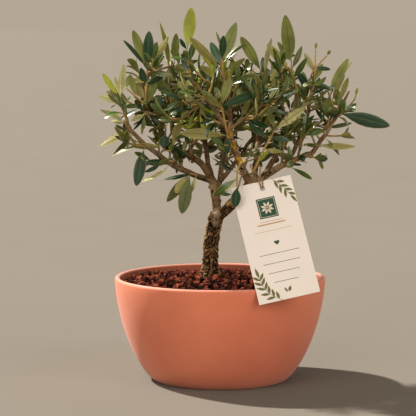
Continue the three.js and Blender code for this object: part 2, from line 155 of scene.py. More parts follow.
LIMBS = [Limb(*row) for row in (
    ("trunk", (-9, 0, 97.5), -26, 94, 0, -22, 62, 7, 7.3, 1, False),
    ("left_stem", (-3.4, -3.2, 158.6), 140, 92, 0, -22, 31, 4.4, 3.9, 1, False),
    ("right_stem", (-0.9, -4.5, 156.7), -43, 31, 4, 18, 51, 5.5, 4.6, 1, False),
    ("low_left_bough", (-7.5, 0, 188.7), -160, 16, -6, 31, 92, 3.1, 1.9, 0.12, True),
    ("mid_left_bough", (-7.5, 1, 190.5), 153, 58, 23, -46, 50, 3.4, 2.8, 0.35, False),
    ("mid_left_upper_bough", (-45.5, 11, 218.3), -167, 55, 39, 15, 66, 2.7, 1.9, 0.1, True),
    ("back_left_bough", (-6.6, 3, 189.4), 109, 40, -19, 23, 79, 2.7, 2, 0.3, True),
    ("back_centre_bough", (-2.6, -1.5, 172), 64, 72, 42, -34, 100, 2.7, 1.9, 0.3, True),
    ("middle_bough", (2, 3.5, 190), 45, 38, 0, 8, 45, 2.3, 1.7, 0.2, True),
    ("centre_bough", (26.8, -30, 190.2), -145, 61, -7, 6, 48.3, 3.9, 2.7, 0.15, False),
    ("centre_left_bough", (9, -41, 233.5), -152, 62, -23, -10, 48, 2.5, 1.8, 0.1, True),
    ("centre_upper_bough", (9.5, -40, 233.5), 88, 58, 7, 19, 50, 2.6, 1.9, 0.1, True),
    ("right_bough", (35.2, -29, 191.5), 14, 32, 12, -15, 58, 3.4, 2.4, 0.4, False),
    ("far_right_bough", (85.5, -12, 214.8), 24, 50, -6, 11, 58, 2.4, 1.7, 0.1, True),
    ("upper_right_bough", (61.7, -18, 207.1), 47, 40, 9, 36, 75, 2.4, 1.8, 0.15, True),
    ("inner_bough", (31.5, -29, 191.1), 63, 76, 48, -44, 83, 3.2, 2, 0.45, True),
    ("back_right_bough", (39, -26, 193.6), 64, 26, 15, 14, 92, 3, 2, 0.4, True),
)]
LIMB_STEP = 1.3 * MM
LIMB_SINK = 3.5 * MM  # how far a limb starts inside the one that carries it
LIMB_TAIL = 13 * MM  # how far a limb that ends in foliage tapers on
TAIL_TAPER = 0.45
FLARE = 4 * MM  # of the trunk's foot, over its own radius
FLARE_HEIGHT = 10 * MM
FLUTE_DEPTH = 0.14  # of the foot's five flutes, as a share of its radius
TRUNK_SIDES = 32
LIMB_SIDES = 16
SWAY = 0.0011  # that a limb wanders from its arc, in waves of this length
SWAY_LENGTH = 0.012
SWELL = 0.13  # of a limb's radius, in waves of this length
SWELL_LENGTH = 0.009

# Short stubs where side twigs were pruned: limb, share of its length, the way that it faces in degrees
# from +X, and its reach from the limb's middle and its radius in millimetres
Stub = namedtuple("Stub", "limb share facing reach radius")
STUBS = [Stub(*row) for row in (
    ("trunk", 0.88, 190, 8.2, 2.2),
    ("trunk", 0.7, 175, 8.2, 1.5),
    ("trunk", 0.38, 300, 8.6, 1.9),
    ("trunk", 0.55, 60, 8.4, 2),
    ("left_stem", 0.8, 180, 5.6, 1.3),
    ("left_stem", 0.35, 20, 5.4, 1.5),
    ("right_stem", 0.42, 290, 6.6, 1.7),
    ("right_stem", 0.7, 100, 6.2, 1.6),
    ("centre_bough", 0.22, 200, 5, 1.3),
    ("centre_bough", 0.66, 300, 4.6, 1.6),
    ("centre_left_bough", 0.3, 240, 3.6, 1.1),
    ("right_bough", 0.3, 280, 4.6, 1.3),
    ("right_bough", 0.72, 100, 4.4, 1.4),
    ("inner_bough", 0.3, 200, 4.3, 1.2),
    ("back_right_bough", 0.35, 330, 4, 1.3),
    ("low_left_bough", 0.18, 260, 4.2, 1.2),
    ("low_left_bough", 0.55, 100, 3.6, 1.1),
    ("mid_left_bough", 0.5, 280, 4.4, 1.2),
    ("mid_left_upper_bough", 0.3, 200, 3.8, 1.1),
    ("back_left_bough", 0.35, 250, 3.8, 1.1),
)]

# Patches of other bark: limb, share of its length, the way that it faces in degrees from +X, reach in
# millimetres and how much smooth grey skin, lichen or knot hole it has
Patch = namedtuple("Patch", "limb share facing reach grey lichen hole")
PATCHES = [Patch(*row) for row in (
    ("trunk", 0.97, 270, 5, 0.9, 0, 0),
    ("trunk", 0.86, 270, 4.5, 0.7, 0, 0),
    ("trunk", 0.82, 232, 2.6, 0, 0, 1),
    ("trunk", 0.6, 300, 1.5, 0, 0, 0.8),
    ("left_stem", 0.1, 270, 4, 0.6, 0, 0),
    ("left_stem", 0.66, 225, 2.2, 0, 0, 1),
    ("right_stem", 0.3, 280, 1.8, 0, 0, 0.9),
    ("centre_bough", 0.5, 270, 5, 0.2, 1, 0),
    ("centre_bough", 0.8, 270, 5, 0, 1, 0),
    ("centre_bough", 0.3, 250, 1.5, 0, 0, 0.9),
    ("centre_upper_bough", 0.06, 270, 4, 0, 0.7, 0),
    ("right_bough", 0.5, 270, 5, 0.6, 0.2, 0),
    ("right_bough", 0.25, 265, 1.4, 0, 0, 0.9),
    ("mid_left_bough", 0.8, 270, 6, 0.4, 0.3, 0),
)]
KNOT_DEPTH = 1.6 * MM
BARK_FOOT = 0.1  # height where the trunk leaves the soil and its bark is roughest
RELIEF_DEPTHS = (0.0007, 0.0022)  # least and most
OLD_RADIUS = 0.0047  # where bark starts to look young, and how much thinner it is quite young
YOUNG_SPAN = 0.0022
BARK_VALUES = ("relief", "youth", "grey", "lichen")  # kept for each vertex of the bark

# The card: its frame stands on the hole's middle, x across it, y through it and z up it. Its front
# faces -y. Places on it are in millimetres.
CARD_HOLE = (38.78, -52, 185.77)
CARD_LEAN = 25.75  # degrees that the top leans back
CARD_ROLL = -13.79
CARD_YAW = -2.89
CARD_ACROSS = 24  # columns of faces
CARD_BLOCK = 4  # columns and rows of them that make room for the hole
PANEL = (0, -19.4, 17.4, 19.8)  # middle, width and height
PANEL_MARGIN = 1.2  # from its edge to the fine frame in it
BANDS = ((0.3, -32.6, 20, 0.5), (0.3, -35.2, 26, 1.3), (0.3, -41.8, 35, 0.35))  # as the panel
HEART = (0.9, -54.0, 5)  # middle and width
WRITING_LINES = ((-64, 37), (-73, 34), (-82, 29), (-91, 23))  # height and width
WRITING_THICKNESS = 0.45
FOOT_LEAVES = (((-0.3, -102.2), (-2.3, -97.4), 2), ((1, -102), (3.6, -97), 3))  # foot, tip and width
RING_SIDES = 32

# Printed sprigs: a stem from its foot to its tip, the shares of its length that leaves grow from on its
# left and on its right, how far they spread in degrees, and the lengths left, right and at the tip
Sprig = namedtuple("Sprig", "stem left right spread lengths")
TOP_SPRIG = Sprig(
    ((10, 7.2), (14.2, 3.6), (17.2, -1.1), (20.1, -5.2), (23.7, -11.9)),
    (0.22, 0.44, 0.66, 0.88), (0.12, 0.4, 0.66), 37, (7.8, 9.4, 9.2),
)
BOTTOM_SPRIG = Sprig(
    ((-6.2, -108.7), (-12, -104.5), (-16.5, -100.5), (-19, -96), (-21.2, -90.5), (-22.4, -84)),
    (0.24, 0.42, 0.6, 0.76, 0.91), (0.11, 0.27, 0.44, 0.6, 0.77, 0.93), 43, (8.8, 7.8, 10.6),
)
SPRIG_LEAF_WIDTH = 2.7

# The twine goes from behind the card through its hole, loops over its top edge and round itself, and
# then round the inner bough. These points are its left half in the card's frame, upwards from the hole.
TWINE_BEHIND = (
    (-0.62, -0.3, 0.5), (-0.75, 0.7, 1.9), (-0.8, 0.9, 5.5), (-0.7, 0.65, 10.4), (-0.95, 0.3, 14.5)
)
TWINE_FRONT = ((-0.85, -1.25, 1.9), (-1.35, -1.4, 5.4), (-1.75, -1.1, 8.6), (-1.75, 0.2, 10.4))
TWINE_BACK = (0, 2.0, 11.2)
TWINE_BOUGH = "inner_bough"
TWINE_SHARE = 15 / 83  # of the bough's length
TWINE_RING = 4.25  # distance of the twine from the middle of the bough

# Its turn round the bough: beside and behind its middle as shares of that distance, and along it in mm
TWINE_TURN = ((1.1, -1, -4), (1.05, 0, -0.8), (0, 1.1, 0.6), (-1.05, 0, -0.8), (-1.1, -1, -4))
TWINE_SPAN_STEPS = 24
TWINE_STEP = 0.00022
STRAND_SIDES = 7
STRAND_SEAT = 0.86  # distance of a strand's middle from the twine's, as a share of its radius
STRAND_PATTERN = 0.05  # how far the fibre's pattern moves on in one step

# Leaves of the shoots that draw the crown's outline from the front. A leaf runs from its foot to its
# tip, both as x and z in millimetres at its shoot's depth, and shows the width and side that are given.
Leaf = namedtuple("Leaf", "foot_x foot_z tip_x tip_z wide tint side", defaults=("upper",))
Shoot = namedtuple("Shoot", "name depth stems leaves")

OUTLINE_SHOOTS = (
    Shoot("top_left", -15, (((-70, 260), (-69, 280), (-68, 295)),), (
        (-69, 299, -66, 330, 10.5, "deep"), (-71, 297, -81, 331, 8.5, "green", "under"),
        (-71, 297, -89, 322, 3, "deep"), (-64, 298, -48, 325, 7, "olive", "under"),
        (-63, 301, -59, 320, 6, "green"), (-73, 277, -74, 296, 7, "deep"),
        (-68, 282, -83, 286, 3, "olive", "under"), (-68, 281, -51, 290, 5, "deep"),
        (-69, 266, -83, 283, 8.5, "olive", "under"), (-67, 258, -60, 288, 9.5, "green", "under"),
    )),
    Shoot("far_left", -22, (((-87, 246), (-91, 259), (-93, 269)), ((-71, 263), (-78, 269), (-87, 277))), (
        (-95, 268, -109, 291, 5, "young", "under"), (-93, 270, -90, 299, 7.5, "sage", "under"),
        (-89, 276, -85, 289, 5, "young"), (-95, 270, -98, 288, 3, "sage", "under"),
        (-94, 262, -113, 270, 6, "sage", "under"), (-79, 270, -84, 290, 6, "green", "under"),
    )),
    Shoot("upper_left", 0, (((-45, 258), (-48, 279), (-48, 293)), ((-23, 273), (-28, 293), (-31, 312))), (
        (-31, 314, -27, 352, 12, "young", "under"), (-47, 296, -56, 338, 5, "young", "under"),
        (-43, 301, -41, 328, 7.5, "green", "under"), (-33, 312, -38, 323, 4, "deep"),
        (-26, 284, -36, 309, 8, "deep"), (-29, 284, -42, 298, 8, "olive", "under"),
        (-25, 280, -49, 283, 3, "deep"), (-30, 300, -24, 321, 6, "green"),
    )),
    Shoot("top_centre", -30, (((5, 278), (2, 296), (1, 316)),), (
        (1, 316, -4, 330, 3, "sage"), (0, 298, -9, 320, 8, "deep"),
        (4, 303, 15, 338, 11, "green", "under"), (2, 303, 3, 326, 7, "deep"),
        (4, 301, 25, 320, 3.5, "green"), (2, 291, -28, 325, 8, "olive", "under"),
        (1, 281, -19, 298, 7, "olive", "under"), (5, 290, 23, 305, 6, "green", "under"),
    )),
    Shoot("centre_right", -15, (((49, 255), (45, 277), (39, 292)),), (
        (37, 292, 19, 325, 9.5, "green", "under"), (43, 288, 47, 324, 5, "sage", "under"),
        (39, 290, 40, 306, 5, "deep"), (45, 278, 58, 300, 7, "olive", "under"),
        (46, 274, 28, 291, 8, "green", "under"),
    )),
    Shoot("top_right", -5, (((75, 265), (69, 284), (67, 301)),), (
        (67, 303, 60, 345, 12.5, "green", "under"), (72, 290, 44, 318, 8.5, "olive", "under"),
        (75, 273, 43, 295, 5, "deep"), (70, 295, 77, 316, 6, "sage"), (72, 287, 81, 305, 6, "green"),
        (68, 300, 54, 320, 6, "green", "under"),
    )),
    Shoot("right_upper", 5, (
        ((87, 270), (89, 284), (90, 295), (90, 312)),
        ((90, 295), (96, 302), (101, 307)),
        ((108, 254), (105, 265), (102, 273)),
    ), (
        (103, 272, 121, 304, 8.5, "green", "under"), (104, 270, 125, 301, 3.5, "sage", "under"),
        (106, 262, 118, 289, 5, "olive", "under"), (90, 290, 80, 309, 6, "sage", "under"),
        (90, 296, 104, 294, 4, "deep"), (88, 282, 97, 299, 6, "green", "under"),
        (87, 272, 73, 291, 7, "deep"), (90, 311, 91, 319, 3, "young"), (101, 306, 104, 312, 3, "young"),
    )),
    Shoot("far_right", 3, (((99, 239), (109, 254), (114, 264)), ((112, 253), (124, 262), (128, 270))), (
        (114, 253, 162, 240, 13, "deep"), (110, 256, 84, 259, 6, "sage", "under"),
        (114, 262, 120, 287, 6, "olive", "under"), (101, 242, 91, 256, 4, "deep"),
        (109, 254, 93, 262, 4, "deep"), (98, 240, 125, 243, 4, "green"),
        (128, 269, 130, 277, 3, "young"),
    )),
    Shoot("right_low", -12, (), (
        (93, 223, 127, 222, 6.5, "olive", "under"), (66, 203, 86, 192, 3, "green"),
        (95, 222, 78, 224, 4, "olive", "under"), (99, 230, 112, 214, 4, "sage"),
    )),
    Shoot("centre_front", -52, (((7, 235), (4, 248), (1, 262)), ((32, 205), (40, 222), (50, 240))), (
        (2, 262, 34, 274, 9, "deep"), (4, 234, -36, 237, 10, "olive", "under"),
        (51, 240, 77, 261, 9, "sage", "under"), (34, 210, 45, 222, 3, "young"),
        (38, 222, 59, 220, 5, "olive", "under"), (4, 232, 6, 218, 7, "deep"),
        (14, 202, -10, 216, 4, "deep"), (4, 226, -9, 233, 5, "green"),
        (1, 258, -17, 276, 7, "green", "under"), (1, 262, 9, 288, 8, "green", "under"),
        (44, 230, 26, 246, 7, "deep"), (46, 234, 64, 230, 5, "deep"),
        (50, 240, 43, 264, 7, "green", "under"),
    )),
    Shoot("left_low", -22, (), (
        (-86, 238, -112, 223, 6.5, "olive", "under"), (-85, 232, -101, 212, 5.5, "sage"),
        (-88, 245, -102, 246, 4, "sage", "under"), (-90, 247, -112, 257, 6, "sage", "under"),
        (-71, 221, -78, 187, 11, "deep"), (-70, 252, -73, 234, 4, "sage"),
        (-69, 253, -83, 247, 5, "sage", "under"), (-54, 222, -83, 223, 6.5, "olive", "under"),
        (-51, 236, -53, 222, 10, "deep"), (-45, 221, -37, 249, 8, "olive", "under"),
        (-58, 255, -56, 270, 8, "deep"), (-47, 205, -72, 191, 3.5, "sage", "under"),
        (-56, 205, -70, 199, 4, "deep"),
    )),
    Shoot("lower_left", -15, (((-24, 196), (-28, 197)),), (
        (-28, 197, -50, 170, 9, "deep", "under"), (-28, 197, -36, 160, 12, "deep", "under"),
        (-28, 197, -42, 179, 9, "olive", "under"), (-22, 195, -27, 179, 4, "sage", "under"),
        (-26, 197, -53, 191, 3.5, "deep"),
    )),
    Shoot("fork_twig", -64, (((21, 211), (16.3, 205.5), (15.2, 189)),), (
        (15.5, 189, 13.4, 170, 9, "deep"), (9.5, 198, -6, 181.5, 8.5, "green"),
        (14, 197, 4, 185, 3.5, "sage", "under"), (11, 181.3, -1.5, 183, 3.5, "deep"),
        (21, 211, 39, 219, 2.5, "young"),
    )),
)


def rgb(name, description, default):
    """A colour that the user can change."""
    return FloatVectorProperty(
        name=name, description=description, subtype="COLOR", size=3, min=0, max=1, default=default
    )


def metres(name, description, default):
    """A length that the user can change."""
    return FloatProperty(name=name, description=description, default=default, min=0, unit="LENGTH")


def number(name, description, default):
    """A plain number that the user can change."""
    return FloatProperty(name=name, description=description, default=default, min=0)


class BowlSettings(PropertyGroup):
    """Sizes and colours of the clay bowl"""

    height: metres("Height", "From the flat underside to the lip", 0.098)
    mouth_radius: metres("Mouth radius", "Outer radius at the lip", 0.1)
    foot_radius: metres("Foot radius", "Outer radius of the flat underside", 0.062)
    wall: metres("Wall", "Thickness of the side", 0.005)
    floor: metres("Floor", "Thickness of the bottom", 0.006)
    clay: rgb("Clay", "Main colour of the fired clay", (0.635, 0.186, 0.096))
    clay_dark: rgb("Dark clay", "Colour of its darker clouds", (0.558, 0.148, 0.075))
    # Partly handled wear along the lip, partly a painted highlight on it
    clay_worn_and_highlight: rgb("Worn clay", "Colour along the handled lip", (0.47, 0.19, 0.135))


class SoilSettings(PropertyGroup):
    """Sizes and colours of the soil"""

    clod_radius: metres("Clod radius", "Radius of a middling clod", 0.0021)
    roughness: metres("Unevenness", "How far the soil's surface rises and falls", 0.0022)
    earth: rgb("Earth", "Colour of a dry clod", (0.3, 0.069, 0.035))
    # Partly damp earth, partly painted shade: the near-black gaps between the clods
    damp_earth_and_shade: rgb("Damp earth", "Colour of a damp clod", (0.022, 0.0065, 0.0035))


class BarkSettings(PropertyGroup):
    """Sizes and colours of the trunk and boughs"""

    grain: metres("Mesh grain", "Size of the faces that carry the relief", 0.00058)
    relief: number("Relief", "Depth of the cracks as a share of a limb's radius", 0.24)
    # Near black: partly the darker bark in the cracks, partly painted shade there and in knot holes
    crack: rgb("Crack", "Colour deep between the plates", (0.01, 0.005, 0.002))
    plate: rgb("Plate", "Colour of the plates", (0.185, 0.09, 0.03))
    # Paler raised ridges: partly weathering, partly a painted highlight
    ridge: rgb("Ridge", "Colour of the weathered ridges", (0.46, 0.295, 0.13))
    young: rgb("Young bark", "Colour of the thinner boughs", (0.17, 0.1, 0.04))
    grey: rgb("Grey skin", "Colour of the smooth patches", (0.34, 0.265, 0.18))
    lichen: rgb("Lichen", "Colour of the lichen on the boughs", (0.5, 0.27, 0.02))


class CrownSettings(PropertyGroup):
    """How the crown grows"""

    seed: IntProperty(name="Seed", description="Picks one way for the crown to grow", default=11, min=0)
    spacing: metres("Shoot spacing", "Least distance between the tips of two shoots", 0.0149)
    leaf_length: metres("Leaf length", "Length of a middling leaf", 0.03)
    leaf_width: metres("Leaf width", "Width of a middling leaf", 0.006)
    leaf_gap: metres("Leaf gap", "Distance along a shoot between two pairs of leaves", 0.0082)
    twig_radius: metres("Twig radius", "Radius of a shoot near its tip", 0.0008)
    wood: rgb("Twig wood", "Colour of the older twigs", (0.31, 0.205, 0.1))
    shoot: rgb("Young shoot", "Colour of the shoots that bear leaves", (0.42, 0.265, 0.07))


class CardSettings(PropertyGroup):
    """Sizes and colours of the gift card"""

    width: metres("Width", "From side to side", 0.0563)
    height: metres("Height", "From top to bottom", 0.1158)
    thickness: metres("Thickness", "Of the card stock", 0.0006)
    hole_radius: metres("Hole radius", "Of the hole that the twine goes through", 0.0022)
    hole_to_top: metres("Hole to top", "From the hole's middle to the top edge", 0.0072)
    bow: metres("Bow", "How far the card bellies out in its middle", 0.0005)
    paper: rgb("Paper", "Colour of the card stock", (0.735, 0.678, 0.62))
    olive_ink: rgb("Olive ink", "Colour of the printed sprigs", (0.12, 0.115, 0.035))
    green_ink: rgb("Green ink", "Colour of the panel and the writing lines", (0.018, 0.06, 0.04))
    bronze_ink: rgb("Bronze ink", "Colour of the band below the panel", (0.42, 0.24, 0.13))
    pale_ink: rgb("Pale ink", "Colour of the flower on the panel", (0.6, 0.5, 0.38))
    ring: rgb("Ring", "Colour of the ring round the hole", (0.3, 0.29, 0.29))


class TwineSettings(PropertyGroup):
    """Sizes and colours of the twine"""

    strand_radius: metres("Strand radius", "Radius of each of the two twisted strands", 0.00043)
    twist: metres("Twist", "Length of one full twist", 0.0042)
    jute: rgb("Jute", "Colour of the fibre", (0.46, 0.29, 0.15))
    jute_dark: rgb("Dark jute", "Colour between the fibres", (0.2, 0.11, 0.05))


class StageSettings(PropertyGroup):
    """The floor and the light"""

    floor: rgb("Floor", "Colour of the floor", (0.1393, 0.1251, 0.1068))
    air: rgb("Air", "Colour of the surroundings", (0.46, 0.385, 0.3))
    sun_strength: number("Sun strength", "From the left and behind", 8.8)
    fill_strength: number("Fill strength", "Soft, from the front left", 1.3)
    side_strength: number("Side strength", "Soft, from the front right", 1.4)


# Objects and meshes
def deselect():
    """Starts a piece with nothing selected."""
    bpy.ops.object.select_all(action="DESELECT")


def select_only(piece):
    """Makes a piece the one that operators act on."""
    deselect()
    piece.select_set(True)
    bpy.context.view_layer.objects.active = piece


def mesh_object(name, points, faces, face_slots=None):
    """A new selected object from arrays of points and faces."""
    mesh = bpy.data.meshes.new(name)
    mesh.from_pydata(points, [], faces)
    if face_slots is not None:
        mesh.polygons.foreach_set("material_index", np.asarray(face_slots, np.int32))
    mesh.update()
    made = bpy.data.objects.new(name, mesh)
    bpy.context.scene.collection.objects.link(made)
    select_only(made)
    return made


def finish_piece(piece, materials, nodes, angle=None):
    """Shades a piece smooth, with an edge where faces meet at more than an angle in degrees if one is
    given, gives it its materials, hides the parts of the model that it stands for and sets it on the root
    body."""
    if angle:
        select_only(piece)
        bpy.ops.object.shade_smooth_by_angle(angle=radians(angle))
    for material in materials:
        piece.data.materials.append(material)
    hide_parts(*nodes)
    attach(piece, "root")


def apply_modifier(piece, kind, **settings):
    """Adds a modifier and applies it."""
    modifier = piece.modifiers.new(kind.title(), kind)
    for name, value in settings.items():
        setattr(modifier, name, value)
    bpy.context.view_layer.objects.active = piece
    bpy.ops.object.modifier_apply(modifier=modifier.name)


def keep_values(mesh, name, values):
    """Keeps one value for each vertex as an attribute that a material can read."""
    mesh.attributes.new(name, "FLOAT", "POINT").data.foreach_set("value", np.asarray(values, np.float32))


def clamp(value, low=0.0, high=1.0):
    return max(low, min(high, value))


def smoothstep(low, high, value):
    share = clamp((value - low) / (high - low))
    return share * share * (3 - 2 * share)


def unit(vector):
    """A direction: the vector at a length of 1."""
    vector = np.asarray(vector, float)
    return vector / (norm(vector) + 1e-12)


def facing(degrees):
    """A level direction, turned so far from +X."""
    return cos(radians(degrees)), sin(radians(degrees)), 0


def step_lengths(points):
    """How far each point of a path is from the one before it."""
    return norm(np.diff(points, axis=0), axis=1)


def distances(places, place):
    """How far each of many places is from one."""
    return norm(np.asarray(places) - place, axis=1)


def arc(centre, radius, start, end, steps):
    """Points of an arc between two angles in degrees."""
    angles = np.radians(np.linspace(start, end, steps + 1))
    return [(centre[0] + radius * cos(a), centre[1] + radius * sin(a)) for a in angles]


def grow_rings(name, profile, sides):
    """A closed turned shell, drawn up from a disc: each ring is an extrusion scaled to its radius."""
    radius, height = profile[0]
    deselect()
    bpy.ops.mesh.primitive_circle_add(
        vertices=sides, radius=radius, fill_type="NGON", location=(0, 0, height)
    )
    shell = bpy.context.object
    shell.name = shell.data.name = name
    bpy.ops.object.mode_set(mode="EDIT")
    bpy.ops.mesh.select_all(action="SELECT")
    for next_radius, next_height in profile[1:]:
        bpy.ops.mesh.extrude_region_move(TRANSFORM_OT_translate={"value": (0, 0, next_height - height)})
        scale = next_radius / radius
        bpy.ops.transform.resize(value=(scale, scale, 1), center_override=(0, 0, 0))
        radius, height = next_radius, next_height
    bpy.ops.mesh.select_all(action="SELECT")
    bpy.ops.mesh.normals_make_consistent(inside=False)
    bpy.ops.object.mode_set(mode="OBJECT")
    bpy.ops.object.transform_apply(location=True, rotation=True, scale=True)
    return shell


def turned_frames(points):
    """Two directions square to a path at each of its points, carried along it without twisting."""
    ahead = np.gradient(points, axis=0)
    ahead /= norm(ahead, axis=1)[:, None]
    start = np.cross(ahead[0], (0.3, 0.2, 1.0) if abs(ahead[0][2]) < 0.9 else (1.0, 0.1, 0.0))
    across = [start / norm(start)]
    for heading in ahead[1:]:
        carried = across[-1] - heading * np.dot(across[-1], heading)
        across.append(carried / norm(carried))
    across = np.array(across)
    return ahead, across, np.cross(ahead, across)


def ring_faces(rings, sides, closed=False):
    """Faces between rings of points, and from the last to the first where the route is closed."""
    faces = []
    for ring in range(rings if closed else rings - 1):
        here, there = ring * sides, (ring + 1) % rings * sides
        for side in range(sides):
            beside = (side + 1) % sides
            faces.append((here + side, here + beside, there + beside, there + side))
    return faces


def tube_faces(rings, sides):
    """Faces between rings of points, and one at each end."""
    last = (rings - 1) * sides
    return ring_faces(rings, sides) + [tuple(range(sides))[::-1], tuple(range(last, last + sides))]


def tube(points, radii, sides, uneven=None):
    """Rings of points along a path and the faces of the closed tube through them."""
    points, radii = np.asarray(points, float), np.asarray(radii, float)
    _, across, aside = turned_frames(points)
    rings = []
    for ring, (place, radius) in enumerate(zip(points, radii)):
        for side in range(sides):
            angle = 2 * pi * side / sides
            reach = radius * (uneven(ring, angle) if uneven else 1)
            rings.append(place + reach * (cos(angle) * across[ring] + sin(angle) * aside[ring]))
    return rings, tube_faces(len(points), sides)


def joined(parts):
    """One list of points and faces from several."""
    points, faces = [], []
    for part_points, part_faces in parts:
        start = len(points)
        points.extend(part_points)
        faces.extend(tuple(start + corner for corner in face) for face in part_faces)
    return points, faces


# Materials
class Nodes:
    """A node tree and what is added to it."""

    def __init__(self, tree):
        self.tree = tree

    def feed(self, socket, value):
        """Links a socket to what feeds it, or sets its value. A colour is given without its alpha."""
        if isinstance(value, NodeSocket):
            self.tree.links.new(value, socket)
        elif socket.type == "RGBA":
            socket.default_value = (*value, 1)
        else:
            socket.default_value = value

    def put(self, kind, settings=None, values=(), **inputs):
        """Adds a node. Values go to its inputs in their order, or by their names with _ for a space."""
        node = self.tree.nodes.new("ShaderNode" + kind)
        for name, value in (settings or {}).items():
            setattr(node, name, value)
        for socket, value in zip(node.inputs, values):
            self.feed(socket, value)
        for name, value in inputs.items():
            self.feed(node.inputs[name.replace("_", " ")], value)
        return node

    def compute(self, operation, *values, clamped=False):
        """The result of a Math node."""
        return self.put("Math", {"operation": operation, "use_clamp": clamped}, values).outputs[0]

    def mix(self, mask, first, second):
        """A colour between two, by a mask."""
        return self.put("MixRGB", values=(mask, first, second)).outputs[0]

    def map_range(self, value, low, high, to_low=0.0, to_high=1.0):
        """A value carried from one range to another, and kept inside it."""
        return self.put("MapRange", values=(value, low, high, to_low, to_high)).outputs["Result"]

    def faded(self, mask, most):
        """A mask that reaches only so far."""
        return self.map_range(mask, 0, 1, 0, most)


class Skin(Nodes):
    """A material with only its Principled shader, on the object's own coordinates."""

    def __init__(self, name, roughness, specular):
        self.material = bpy.data.materials.new(name)
        self.material.use_nodes = True
        super().__init__(self.material.node_tree)
        self.inputs = self.tree.nodes["Principled BSDF"].inputs
        self.inputs["Roughness"].default_value = roughness
        self.inputs["Specular IOR Level"].default_value = specular
        self.place = self.put("TexCoord").outputs["Object"]

    def attribute(self, name):
        """A value that the mesh keeps for each of its vertices."""
        return self.put("Attribute", {"attribute_name": name}).outputs["Fac"]

    def own_map(self):
        """The place on the piece's own UV map."""
        return self.put("UVMap", {"uv_map": "UVMap"}).outputs["UV"]

    def grain(self, scale, contrast, place=None):
        """The mask and the height of a fine grain."""
        group = {"node_tree": grain_group()}
        out = self.put("Group", group, Vector=place or self.place, Scale=scale, Contrast=contrast).outputs
        return out["Mask"], out["Height"]

    def clouds(self, scale, low, high):
        """The mask of soft clouds."""
        group = {"node_tree": cloud_group()}
        return self.put("Group", group, Vector=self.place, Scale=scale, Low=low, High=high).outputs["Mask"]

    def paint(self, colour):
        """Lets a colour show."""
        self.feed(self.inputs["Base Color"], colour)

    def bump(self, height, distance, strength):
        """Lets a height show as relief."""
        node = self.put("Bump", Height=height, Distance=distance, Strength=strength)
        self.feed(self.inputs["Normal"], node.outputs["Normal"])


def toned(colour, share, lift=0.0):
    """A colour made darker or brighter."""
    return tuple(min(1, share * part + lift) for part in colour)


def new_group(name, inputs, outputs):
    """An empty group that takes a vector and numbers and puts out numbers, and the sockets inside it."""
    group = bpy.data.node_groups.new(name, "ShaderNodeTree")
    group.interface.new_socket("Vector", in_out="INPUT", socket_type="NodeSocketVector")
    for socket, value in inputs.items():
        made = group.interface.new_socket(socket, in_out="INPUT", socket_type="NodeSocketFloat")
        made.default_value = value
    for socket in outputs:
        group.interface.new_socket(socket, in_out="OUTPUT", socket_type="NodeSocketFloat")
    given, out = (group.nodes.new(kind) for kind in ("NodeGroupInput", "NodeGroupOutput"))
    return group, Nodes(group), given.outputs, out.inputs


@functools.cache
def grain_group():
    """Fine speckle: a mask and a height from two layers of noise."""
    group, nodes, given, out = new_group("Fine grain", {"Scale": 900, "Contrast": 1}, ("Mask", "Height"))
    finer = nodes.compute("MULTIPLY", given["Scale"], 3.1)
    coarse, fine = (
        nodes.put("TexNoise", Vector=given["Vector"], Scale=scale, Detail=detail).outputs["Fac"]
        for scale, detail in ((given["Scale"], 4), (finer, 2))
    )
    height = nodes.compute("MULTIPLY_ADD", fine, 0.5, coarse)
    centred = nodes.compute("SUBTRACT", height, 0.75)
    nodes.feed(out["Mask"], nodes.compute("MULTIPLY_ADD", centred, given["Contrast"], 0.5, clamped=True))
    nodes.feed(out["Height"], height)
    return group


@functools.cache
def cloud_group():
    """Soft clouds: a mask that drifts over the surface."""
    group, nodes, given, out = new_group("Soft clouds", {"Scale": 20, "Low": 0.35, "High": 0.65}, ["Mask"])
    clouds = nodes.put("TexNoise", Vector=given["Vector"], Scale=given["Scale"], Detail=3)
    nodes.feed(out["Mask"], nodes.map_range(clouds.outputs["Fac"], given["Low"], given["High"]))
    return group


def clay_material(bowl, name, shade_tone):
    """Smooth matte clay with a fine grain, faint clouds and a duller lip, partly handled wear and partly a
    painted highlight. The shade_tone argument darkens its colours for painted shade inside the bowl.
    """
    skin = Skin(name, 0.6, 0.4)
    clay, clay_dark = (tuple(np.multiply(shade_tone, colour)) for colour in (bowl.clay, bowl.clay_dark))
    speckle, relief = skin.grain(1100, 1.3)
    body = skin.mix(skin.clouds(14, 0.38, 0.66), clay, clay_dark)
    speckled = skin.mix(skin.faded(speckle, 0.25), body, clay_dark)
    height = skin.put("SeparateXYZ", Vector=skin.place).outputs["Z"]
    # A duller band at the lip: partly handled wear, partly a painted highlight
    lip = skin.map_range(height, bowl.height - 0.0014, bowl.height - 0.0003, 0, 0.9)
    skin.paint(skin.mix(lip, speckled, bowl.clay_worn_and_highlight))
    skin.feed(skin.inputs["Roughness"], skin.map_range(speckle, 0, 1, 0.52, 0.7))
    skin.inputs["Sheen Weight"].default_value = 0.14
    skin.inputs["Sheen Roughness"].default_value = 0.5
    skin.bump(relief, 0.0002, 0.7)
    return skin.material


def soil_material(name, colour, dark):
    """Crumbly earth, darker below its dry top: partly damp, partly painted shade."""
    skin = Skin(name, 0.95, 0.1)
    speckle, relief = skin.grain(600, 2.2)
    speckled = skin.mix(speckle, dark, colour)
    # Low places go near black: partly damp, partly painted shade
    skin.paint(skin.mix(skin.attribute("dry"), toned(colour, 0.07), speckled))
    skin.bump(relief, 0.0007, 0.9)
    return skin.material


